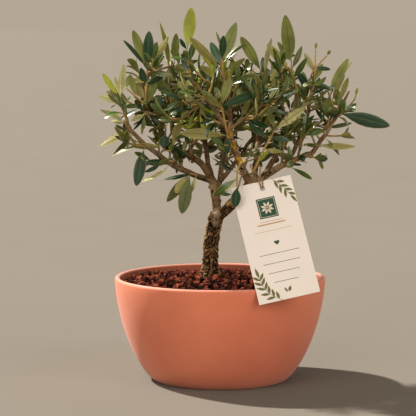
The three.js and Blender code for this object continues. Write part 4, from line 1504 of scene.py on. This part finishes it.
    def spurs(self):
        """Short shoots straight from the boughs."""
        draw = self.draw
        twine = Vector(CARD_HOLE) * MM + Vector((0, 0.02, 0.015))
        for limb in LIMBS:
            if limb.bare == 1:
                continue
            points = limb_path(limb)[0]
            ahead, across, aside = turned_frames(points)
            step = round(SPUR_GAP / LIMB_STEP)
            first = int(limb.bare * len(points)) + step // 2 + int(draw.integers(step))
            for at in range(first, len(points) - step, step):
                angle = draw.uniform(0, 2 * pi)
                out = cos(angle) * across[at] + sin(angle) * aside[at]
                out = unit(out + 0.5 * ahead[at] + 0.35 * UP + draw.normal(0, 0.15, 3))
                reach = draw.uniform(*SPUR_REACH)
                apex = points[at] + out * reach
                if draw.uniform() < SPURS_MISSING or (Vector(apex) - twine).length < SPUR_ROOM:
                    continue
                start = self.wood.add(points[at], ahead[at])
                path = bezier(points[at], points[at] + out * reach / 3, apex - out * reach / 3, apex)
                size = self.growth.leaf_length * draw.uniform(0.55, 0.8)
                self.leafy_twig(path, start, reach * 0.75, size)

    def leafy_twig(self, path, start, leafy, size):
        """Grows a twig along a path and sets pairs of leaves on its leafy end."""
        growth, draw = self.growth, self.draw
        for i in range(1, len(path) - 1):
            path[i] += np.array(noise.noise_vector(Vector(path[i]) * 90)) * 0.0009
        leafy = min(leafy, 0.85 * step_lengths(path).sum())
        _, _, young = point_on(path, leafy * 0.9)
        index = self.wood.grow(path, start, young)
        shade = self.shade(path[-1])
        tint = self.pick_tint(shade)
        turn = draw.uniform(0, pi)
        back = 0.0
        pair = 0
        while back < leafy:
            place, ahead, at = point_on(path, back)
            self.pair(place, ahead, turn, pair, size, tint, shade, index, at)
            pair += 1
            turn += pi / 2 + draw.normal(0, 0.2)
            closeness = 0.7 if pair == 1 else 1
            back += growth.leaf_gap * draw.uniform(0.8, 1.3) * closeness * size / growth.leaf_length

    def pair(self, place, ahead, turn, number, size, tint, shade, index, at):
        """Two leaves opposite each other on a shoot. Number 0 is the unfolding pair at its tip."""
        draw = self.draw
        _, across, aside = turned_frames(np.array([place - ahead, place, place + ahead]))
        share, spread = (sizes[min(number, len(sizes) - 1)] for sizes in (PAIR_SIZES, PAIR_SPREADS))
        for side in (0, pi):
            if number and draw.uniform() < LEAVES_MISSING:
                continue
            angle = turn + side + draw.normal(0, 0.18)
            out = cos(angle) * across[1] + sin(angle) * aside[1]
            lean = radians(spread + draw.normal(0, 9))
            direction = cos(lean) * ahead + sin(lean) * out
            face = sin(lean) * ahead - cos(lean) * out
            face = unit(face) + 0.3 * UP + draw.normal(0, 0.25, 3)
            length = size * share * draw.uniform(0.85, 1.12)
            over = self.outside(place + direction * length)
            if over > OVERHANGS[0]:
                length *= 0.8
                over = self.outside(place + direction * length)
            if over > OVERHANGS[1] and size > 0.8 * self.growth.leaf_length:
                continue
            width = self.growth.leaf_width * draw.uniform(0.75, 1.3) * (0.6 + 0.4 * share)
            own_tint = tint if draw.uniform() < TINT_KEPT else self.pick_tint(shade)
            self.add_blade(place, direction, face, length, width, own_tint)
            self.wood.twigs[index].load[at] += 1

    def covers(self, blade, shown):
        """Whether a leaf is in front of one of the limbs and shoots that are kept in sight."""
        for share in (0.25, 0.5, 0.75, 1):
            behind = shown - (blade.foot + share * blade.length * blade.ahead)
            gaps = np.hypot(behind[:, 0], behind[:, 2] + SIGHT_RISE * behind[:, 1])
            if np.any((behind[:, 1] > 0.001) & (gaps < SHOWN_ROOM + blade.width / 2)):
                return True
        return False

    def build(self):
        """Grows the outline, then spurs, then sprays, and drops their leaves that cover what is shown."""
        for shoot in OUTLINE_SHOOTS:
            self.outline_shoot(shoot)
        outline = len(self.blades)
        self.spurs()
        for apex in self.sites():
            self.spray(apex)
        shown = np.array(self.shown)
        others = [blade for blade in self.blades[outline:] if not self.covers(blade, shown)]
        self.blades[outline:] = others
        return self


@functools.cache
def grown(growth):
    """The crown, grown once for the twigs and the leaves."""
    return Crown(growth).build()


def crown_plan(crown):
    """The crown that the settings ask for."""
    return grown(Growth(*(getattr(crown, name) for name in Growth._fields)))


def leaf_outline(shares, widest):
    """Half width of a leaf along its length as a share of its widest: a thin stalk, a narrow foot and a
    rounder tip."""
    blade = np.clip((shares - PETIOLE_SHARE) / (1 - PETIOLE_SHARE), 0, 1)
    swell = np.sin(pi * blade ** (log(0.5) / np.log(widest)))
    return np.maximum(np.clip(swell, 0, 1) ** (0.95 - 0.4 * blade), 0.06)


def leaf_points(blades):
    """Corners of all the leaves: the upper side, then the inside corners of the underside."""
    foot, ahead, face, length, width, camber, fold, twist, widest = (
        np.array([getattr(blade, name) for blade in blades])[:, None] for name in Blade._fields[:9]
    )
    camber = np.where(np.abs(camber) < 0.02, 0.02, camber)
    bend = camber * LEAF_ROWS
    spine = foot + (length * np.sin(bend) / camber)[..., None] * ahead
    spine = spine - (length * (1 - np.cos(bend)) / camber)[..., None] * face
    forward = np.cos(bend)[..., None] * ahead - np.sin(bend)[..., None] * face
    above = np.sin(bend)[..., None] * ahead + np.cos(bend)[..., None] * face
    aside = np.cross(forward, above)
    roll = (twist * (LEAF_ROWS - 0.3))[..., None]
    aside, above = np.cos(roll) * aside + np.sin(roll) * above, np.cos(roll) * above - np.sin(roll) * aside
    half = (width / 2 * leaf_outline(LEAF_ROWS, widest))[..., None]
    columns = LEAF_COLUMNS[None, None, :]
    lift = half * (fold[..., None] * np.abs(columns) - 0.22 * columns**2)
    upper = spine[:, :, None, :] + (half * columns)[..., None] * aside[:, :, None, :]
    upper = upper + lift[..., None] * above[:, :, None, :]
    midrib = (np.abs(columns) < 0.2) * (1.1 - LEAF_ROWS[None, :, None])
    thick = LEAF_THICKNESS * (1 - columns**2) + MIDRIB_THICKNESS * midrib
    under = upper - (thick[..., None] * above[:, :, None, :])
    inner = under[:, 1:-1, 1:-1, :]
    count = len(blades)
    return np.concatenate([upper.reshape(count, -1, 3), inner.reshape(count, -1, 3)], axis=1)


def leaf_faces():
    """One leaf's faces, their material slots and the place of each corner on the leaf."""
    rows, columns = len(LEAF_ROWS), len(LEAF_COLUMNS)

    def upper(row, column):
        return row * columns + column

    def under(row, column):
        if row in (0, rows - 1) or column in (0, columns - 1):
            return upper(row, column)
        return rows * columns + (row - 1) * (columns - 2) + column - 1

    faces, slots, places = [], [], []
    middle = (columns - 1) // 2
    for row in range(rows - 1):
        for column in range(columns - 1):
            corners = ((row, column), (row, column + 1), (row + 1, column + 1), (row + 1, column))
            faces.append([upper(*corner) for corner in corners])
            faces.append([under(*corner) for corner in corners[::-1]])
            slots += [1, 1] if column == middle else [0, 2]
            for order in (corners, corners[::-1]):
                places += [((LEAF_COLUMNS[c] + 1) / 2, LEAF_ROWS[r]) for r, c in order]
    return np.array(faces), np.array(slots), np.array(places)


def leaves_piece(tint, blades):
    """All the leaves of one tint as one mesh."""
    points = leaf_points(blades)
    faces, slots, places = leaf_faces()
    count, corners = points.shape[:2]
    all_faces = (faces[None] + corners * np.arange(count)[:, None, None]).reshape(-1, 4)
    piece = mesh_object(f"leaves_{tint}", points.reshape(-1, 3), all_faces, np.tile(slots, count))
    piece.data.uv_layers.new(name="UVMap").data.foreach_set("uv", np.tile(places.ravel(), count))
    colours = TINTS[tint]
    # The paler edge is partly the margin's own colour, partly a painted rim highlight
    edge = toned(colours.under, 1.3)
    upper = leaf_material(f"{tint}_leaf", colours.upper, edge, 0.34, 0.22, 0.0002, 0.5)
    rib = leaf_material(f"{tint}_midrib", colours.rib, colours.rib, 0.5, 0.4, 0.0001)
    under = leaf_material(f"{tint}_underside", colours.under, edge, 0.5, 0.28, 0.0003)
    finish_piece(piece, [upper, rib, under], FOLIAGE_NODES, 50)


class OLIVE_OT_twigs(Operator):
    """Grow the twigs of the crown"""

    bl_idname = "olive.twigs"
    bl_label = "Twigs"

    def execute(self, context):
        crown = context.scene.olive_crown
        wood = crown_plan(crown).wood
        old, young = [], []
        for twig, radii in zip(wood.twigs, wood.radii(crown.twig_radius)):
            points = twig.points
            split = int(clamp(twig.young, 1, len(points) - 2))
            old.append(tube(points[: split + 1], radii[: split + 1], 6))
            young.append(tube(points[split:], radii[split:], 5))
        for name, parts, finish, colour, shade in (
            ("twigs_old", old, "twig_wood", crown.wood, 0.4),
            ("twigs_young", young, "young_shoot", crown.shoot, 0.55),
        ):
            piece = mesh_object(name, *joined(parts))
            material = twig_material(finish, colour, toned(colour, shade))
            finish_piece(piece, [material], FOLIAGE_NODES, 70)
        return {"FINISHED"}


class OLIVE_OT_leaves(Operator):
    """Grow the leaves of the crown"""

    bl_idname = "olive.leaves"
    bl_label = "Leaves"

    def execute(self, context):
        blades = crown_plan(context.scene.olive_crown).blades
        for tint in TINTS:
            leaves_piece(tint, [blade for blade in blades if blade.tint == tint])
        return {"FINISHED"}


# Card
def card_place():
    """From the card's own millimetres to the scene."""
    turn = (
        Matrix.Rotation(radians(CARD_YAW), 4, "Z")
        @ Matrix.Rotation(radians(-CARD_LEAN), 4, "X")
        @ Matrix.Rotation(radians(CARD_ROLL), 4, "Y")
    )
    return Matrix.Translation(Vector(CARD_HOLE) * MM) @ turn @ Matrix.Scale(MM, 4)


def bowed(card, points):
    """The points moved forward by the card's bow, and placed in the scene."""
    place = card_place()
    middle = card.hole_to_top / MM - card.height / MM / 2
    half = card.height / MM / 2
    found = []
    for x, y, z in points:
        rise = max(0, 1 - ((z - middle) / half) ** 2)
        found.append(place @ Vector((x, y - card.bow / MM * rise, z)))
    return found


def card_sheet(card):
    """Points and faces of a flat sheet of card round its punched hole, x across and z up."""
    width, height, top = card.width / MM, card.height / MM, card.hole_to_top / MM
    cell = width / CARD_ACROSS
    columns = [cell * (i - CARD_ACROSS / 2) for i in range(CARD_ACROSS + 1)]
    block = cell * CARD_BLOCK / 2
    below = round((height - top - block) / cell)
    rows = [top] + [block - cell * i for i in range(CARD_BLOCK)]
    rows += [-block - (height - top - block) * i / below for i in range(below + 1)]
    points = [(x, 0, z) for z in rows for x in columns]
    first = (CARD_ACROSS - CARD_BLOCK) // 2
    inside = range(first, first + CARD_BLOCK)
    faces = []
    for row in range(len(rows) - 1):
        for column in range(CARD_ACROSS):
            if column in inside and 1 <= row <= CARD_BLOCK:
                continue
            a = row * len(columns) + column
            faces.append((a, a + len(columns), a + len(columns) + 1, a + 1))
    rim, row, column = [], 1, first
    for down, right in ((0, 1), (1, 0), (0, -1), (-1, 0)):
        for _ in range(CARD_BLOCK):
            rim.append((row, column))
            row, column = row + down, column + right
    start = len(points)
    for row, column in rim:
        angle = atan2(rows[row], columns[column])
        radius = card.hole_radius / MM
        points.append((radius * cos(angle), 0, radius * sin(angle)))
    for i, (row, column) in enumerate(rim):
        after = (i + 1) % len(rim)
        next_row, next_column = rim[after]
        corner = row * len(columns) + column
        next_corner = next_row * len(columns) + next_column
        faces.append((corner, start + i, start + after, next_corner))
    return points, faces


def printed(card, outlines, lift):
    """Flat printed shapes, each an outline of (x, z) points, as thin solids on the card's front."""
    front = -card.thickness / MM
    parts = []
    for outline in outlines:
        rings = [(x, y, z) for y in (front + 0.1, front - lift) for x, z in outline]
        parts.append((rings, tube_faces(2, len(outline))))
    points, faces = joined(parts)
    return bowed(card, points), faces


def leaf_outline_2d(foot, tip, wide):
    """A printed leaf: pointed at both ends."""
    foot, tip = np.array(foot, float), np.array(tip, float)
    ahead = tip - foot
    aside = np.array((-ahead[1], ahead[0])) / norm(ahead)
    shares = np.linspace(0, 1, 9)
    right = [foot + ahead * t - aside * wide / 2 * sin(pi * t**0.85) for t in shares[:-1]]
    left = [foot + ahead * t + aside * wide / 2 * sin(pi * t**0.85) for t in shares[:0:-1]]
    return [tuple(point) for point in right + left]


def strip(path, wide):
    """A printed line along a path, as one outline for each straight part."""
    outlines = []
    for (x0, z0), (x1, z1) in zip(path, path[1:]):
        length = hypot(x1 - x0, z1 - z0)
        right, up = (z0 - z1) / length * wide / 2, (x1 - x0) / length * wide / 2
        corners = ((x0, z0, 1), (x0, z0, -1), (x1, z1, -1), (x1, z1, 1))
        outlines.append([(x + side * right, z + side * up) for x, z, side in corners])
    return outlines


def sprig(card, plan):
    """A printed sprig, cut off at the card's edge."""
    path = np.array(plan.stem)
    along = np.concatenate([[0], step_lengths(path).cumsum()])
    leaves = [(1.0, 0, plan.lengths[2])]
    leaves += [(share, plan.spread, plan.lengths[0]) for share in plan.left]
    leaves += [(share, -plan.spread, plan.lengths[1]) for share in plan.right]
    outlines = strip(plan.stem, 0.45)
    for share, turn, length in leaves:
        foot, behind, ahead = (
            np.array([np.interp(share * along[-1] + shift, along, path[:, axis]) for axis in (0, 1)])
            for shift in (0, -2, 2)
        )
        angle = atan2(*(ahead - behind)[::-1]) + radians(turn)
        tip = foot + length * np.array((cos(angle), sin(angle)))
        outlines.append(leaf_outline_2d(foot, tip, SPRIG_LEAF_WIDTH))
    edge = card.width / MM / 2 - 0.2
    return [[(clamp(x, -edge, edge), z) for x, z in outline] for outline in outlines]


def heart(x, z, wide):
    """A small heart about a point."""
    angles = np.linspace(0, 2 * pi, 28, endpoint=False)
    scale = wide / 32
    return [
        (
            x + scale * 16 * sin(a) ** 3,
            z + scale * (13 * cos(a) - 5 * cos(2 * a) - 2 * cos(3 * a) - cos(4 * a)),
        )
        for a in -angles
    ]


def rectangle(x, z, wide, high):
    """A printed block about a point."""
    right, up = wide / 2, high / 2
    return [(x - right, z + up), (x - right, z - up), (x + right, z - up), (x + right, z + up)]


def rosette(x, z, petals, inner, outer, wide):
    """Petals in a ring."""
    outlines = []
    for petal in range(petals):
        angle = 2 * pi * (petal + 0.5) / petals
        foot, tip = ((x + r * cos(angle), z + r * sin(angle)) for r in (inner, outer))
        outlines.append(leaf_outline_2d(foot, tip, wide))
    return outlines


def hole_ring(card):
    """A thin grey ring round the hole, on the card's front."""
    inner, outer = card.hole_radius / MM - 0.35, card.hole_radius / MM + 0.35
    front = -card.thickness / MM
    section = ((inner, front + 0.1), (inner, front - 0.12), (outer, front - 0.16), (outer, front + 0.1))
    points = []
    for side in range(RING_SIDES):
        angle = 2 * pi * side / RING_SIDES
        points += [(radius * cos(angle), y, radius * sin(angle)) for radius, y in section]
    return bowed(card, points), ring_faces(RING_SIDES, len(section), closed=True)


def prints(card):
    """The printed pieces: a name, outlines, an ink with its colour and how far it stands proud in mm."""
    x, z, wide, high = PANEL
    rules = [rectangle(1, line, long, WRITING_THICKNESS) for line, long in WRITING_LINES]
    flower = rosette(x, z, 8, 1.3, 6.3, 2.1) + [rectangle(x, z, 1.3, 1.3)]
    frame_line = rectangle(x, z, wide - 2 * PANEL_MARGIN, high - 2 * PANEL_MARGIN)
    motif = flower + strip(frame_line + frame_line[:1], 0.35)
    sprigs = sprig(card, TOP_SPRIG) + sprig(card, BOTTOM_SPRIG)
    sprigs += [leaf_outline_2d(*leaf) for leaf in FOOT_LEAVES]
    return (
        ("card_panel", [rectangle(*PANEL), heart(*HEART)] + rules, "green_ink", card.green_ink, 0.04),
        ("card_motif", motif, "pale_ink", card.pale_ink, 0.07),
        ("card_sprigs", sprigs, "olive_ink", card.olive_ink, 0.04),
        ("card_bands", [rectangle(*band) for band in BANDS], "bronze_ink", card.bronze_ink, 0.04),
    )


class OLIVE_OT_card(Operator):
    """Cut and print the gift card"""

    bl_idname = "olive.card"
    bl_label = "Gift card"

    def execute(self, context):
        card = context.scene.olive_card
        points, faces = card_sheet(card)
        sheet = mesh_object("card", [Vector(point) * MM for point in points], faces)
        apply_modifier(sheet, "SOLIDIFY", thickness=card.thickness, offset=1)
        apply_modifier(sheet, "BEVEL", width=0.00008, segments=1, limit_method="ANGLE")
        for vertex in sheet.data.vertices:
            vertex.co = bowed(card, [vertex.co / MM])[0]
        finish_piece(sheet, [paper_material(card)], ["card_tag"], 30)
        for name, outlines, ink, colour, lift in prints(card):
            piece = mesh_object(name, *printed(card, outlines, lift))
            finish_piece(piece, [ink_material(ink, colour)], ["card_tag"])
        ring = mesh_object("card_hole_ring", *hole_ring(card))
        finish_piece(ring, [ink_material("ring_paper", card.ring)], ["card_tag"], 40)
        return {"FINISHED"}


# Twine
def twine_route():
    """The twine's closed route: its left half, the turn round the bough, and its right half."""
    place = card_place()

    def side(points, sign):
        return [place @ Vector((x * sign, y, z)) for x, y, z in points]

    middle, along, _ = limb_point(TWINE_BOUGH, TWINE_SHARE)
    middle, along = Vector(middle), Vector(along)
    aside = Vector((1, 0, 0))
    aside = (aside - along * aside.dot(along)).normalized()
    behind = along.cross(aside)
    turn = [
        middle + (aside * x * TWINE_RING + behind * y * TWINE_RING + along * up) * MM
        for x, y, up in TWINE_TURN
    ]
    over = side(TWINE_FRONT, 1) + [place @ Vector(TWINE_BACK)] + side(TWINE_FRONT, -1)[::-1]
    return over + side(TWINE_BEHIND, -1) + turn + side(TWINE_BEHIND, 1)[::-1]


def closed_curve(points, steps):
    """A smooth closed curve through points: uniform Catmull-Rom, so many steps to each span."""
    points = np.array(points)
    found = []
    for i in range(len(points)):
        before, start, end, after = (points[(i + shift) % len(points)] for shift in (-1, 0, 1, 2))
        for step in range(steps):
            t = step / steps
            found.append(
                start
                + 0.5 * t * (end - before)
                + t**2 * (before - 2.5 * start + 2 * end - 0.5 * after)
                + t**3 * (1.5 * (start - end) + 0.5 * (after - before))
            )
    return np.array(found)


def evenly(points, gap):
    """A closed curve's points again, the same distance apart, and its length."""
    ring = np.vstack([points, points[:1]])
    along = np.concatenate([[0], step_lengths(ring).cumsum()])
    count = round(along[-1] / gap)
    wanted = np.linspace(0, along[-1], count, endpoint=False)
    return np.stack([np.interp(wanted, along, ring[:, axis]) for axis in range(3)], axis=1), along[-1]


def twisted_strand(points, length, twine, phase):
    """One strand that winds about a closed route and meets itself again."""
    count = len(points)
    ahead = np.roll(points, -1, axis=0) - np.roll(points, 1, axis=0)
    ahead /= norm(ahead, axis=1)[:, None]
    across = [np.cross(ahead[0], (0.2, 1.0, 0.1))]
    for heading in list(ahead[1:]) + [ahead[0]]:
        carried = across[-1] - heading * np.dot(across[-1], heading)
        across.append(carried / norm(carried))
    across[0] = across[0] - ahead[0] * np.dot(across[0], ahead[0])
    across[0] /= norm(across[0])
    aside = [np.cross(heading, sideways) for heading, sideways in zip(ahead, across)]
    slip = atan2(np.dot(across[-1], aside[0]), np.dot(across[-1], across[0]))
    turns = round(length / twine.twist)
    rings, places = [], []
    for i in range(count):
        angle = phase + (2 * pi * turns - slip) * i / count
        out = cos(angle) * across[i] + sin(angle) * aside[i]
        round_way = np.cross(ahead[i], out)
        centre = points[i] + out * twine.strand_radius * STRAND_SEAT
        for side in range(STRAND_SIDES):
            turn = 2 * pi * side / STRAND_SIDES
            rings.append(centre + twine.strand_radius * (cos(turn) * out + sin(turn) * round_way))
            for x, y in ((0, 0), (1, 0), (1, 1), (0, 1)):
                places.append(((side + x) / STRAND_SIDES, (i + y) * STRAND_PATTERN))
    return rings, ring_faces(count, STRAND_SIDES, closed=True), places


class OLIVE_OT_twine(Operator):
    """Loop the twine through the card and round the bough"""

    bl_idname = "olive.twine"
    bl_label = "Twine"

    def execute(self, context):
        twine = context.scene.olive_twine
        points, length = evenly(closed_curve(twine_route(), TWINE_SPAN_STEPS), TWINE_STEP)
        strands = [twisted_strand(points, length, twine, phase) for phase in (0, pi)]
        piece = mesh_object("twine_strands", *joined([strand[:2] for strand in strands]))
        places = np.array(strands[0][2] + strands[1][2])
        piece.data.uv_layers.new(name="UVMap").data.foreach_set("uv", places.ravel())
        finish_piece(piece, [jute_material(twine)], ["twine"], 60)
        return {"FINISHED"}


# Stage
class OLIVE_OT_stage(Operator):
    """Set the floor, the light and the camera"""

    bl_idname = "olive.stage"
    bl_label = "Floor, light and camera"

    def execute(self, context):
        stage = context.scene.olive_stage
        deselect()
        bpy.ops.mesh.primitive_circle_add(vertices=96, radius=80, fill_type="NGON")
        floor = bpy.context.object
        floor.name = "floor"
        skin = Skin("pale_floor", 0.9, 0.2)
        skin.paint(skin.mix(skin.clouds(6.0, 0.2, 0.8), stage.floor, toned(stage.floor, 0.94)))
        floor.data.materials.append(skin.material)

        world = bpy.data.worlds.new("studio_air")
        context.scene.world = world
        world.use_nodes = True
        world.node_tree.nodes["Background"].inputs["Color"].default_value = (*stage.air, 1)

        for name, place, spread, strength, colour in (
            ("sun", (-0.9, 0.6, 1.2), 2.5, stage.sun_strength, (1.0, 0.93, 0.83)),
            ("fill", (-0.55, -1.0, 0.7), 40, stage.fill_strength, (1.0, 0.95, 0.89)),
            ("side_fill", (1.0, -0.9, 0.5), 40, stage.side_strength, (1.0, 0.94, 0.88)),
        ):
            bpy.ops.object.light_add(type="SUN", location=place)
            light = bpy.context.object
            light.name = name
            light.data.angle = radians(spread)
            light.data.energy = strength
            light.data.color = colour
            light.rotation_euler = (-light.location).to_track_quat("-Z", "Y").to_euler()

        bpy.ops.object.camera_add(location=CAMERA_PLACE, rotation=(radians(90 - CAMERA_PITCH), 0, 0))
        camera = bpy.context.object
        camera.data.sensor_width = 36
        camera.data.lens = CAMERA_LENS
        context.scene.camera = camera
        context.scene.view_settings.view_transform = "Standard"
        return {"FINISHED"}


class OLIVE_PT_panel(Panel):
    """The plant's pieces and settings"""

    bl_label = "Olive Bonsai"
    bl_space_type = "VIEW_3D"
    bl_region_type = "UI"
    bl_category = "Olive Bonsai"

    def draw(self, context):
        for operator, settings, _ in STEPS:
            box = self.layout.box()
            box.operator(operator.bl_idname)
            group = getattr(context.scene, settings)
            for name in group.__annotations__:
                box.prop(group, name)


# The operators in their order, each with its settings in the scene
STEPS = (
    (OLIVE_OT_stage, "olive_stage", StageSettings),
    (OLIVE_OT_bowl, "olive_bowl", BowlSettings),
    (OLIVE_OT_soil, "olive_soil", SoilSettings),
    (OLIVE_OT_bark, "olive_bark", BarkSettings),
    (OLIVE_OT_twigs, "olive_crown", CrownSettings),
    (OLIVE_OT_leaves, "olive_crown", CrownSettings),
    (OLIVE_OT_card, "olive_card", CardSettings),
    (OLIVE_OT_twine, "olive_twine", TwineSettings),
)
SETTINGS = {name: kind for _, name, kind in STEPS}
CLASSES = (*SETTINGS.values(), *(operator for operator, _, _ in STEPS), OLIVE_PT_panel)


def register():
    for kind in CLASSES:
        bpy.utils.register_class(kind)
    for name, kind in SETTINGS.items():
        setattr(Scene, name, PointerProperty(type=kind))


def unregister():
    for name in SETTINGS:
        delattr(Scene, name)
    for kind in CLASSES[::-1]:
        bpy.utils.unregister_class(kind)


def main():
    register()
    bpy.ops.olive.stage()
    bpy.ops.olive.bowl()
    bpy.ops.olive.soil()
    bpy.ops.olive.bark()
    bpy.ops.olive.twigs()
    bpy.ops.olive.leaves()
    bpy.ops.olive.card()
    bpy.ops.olive.twine()


if __name__ == "__main__":
    main()
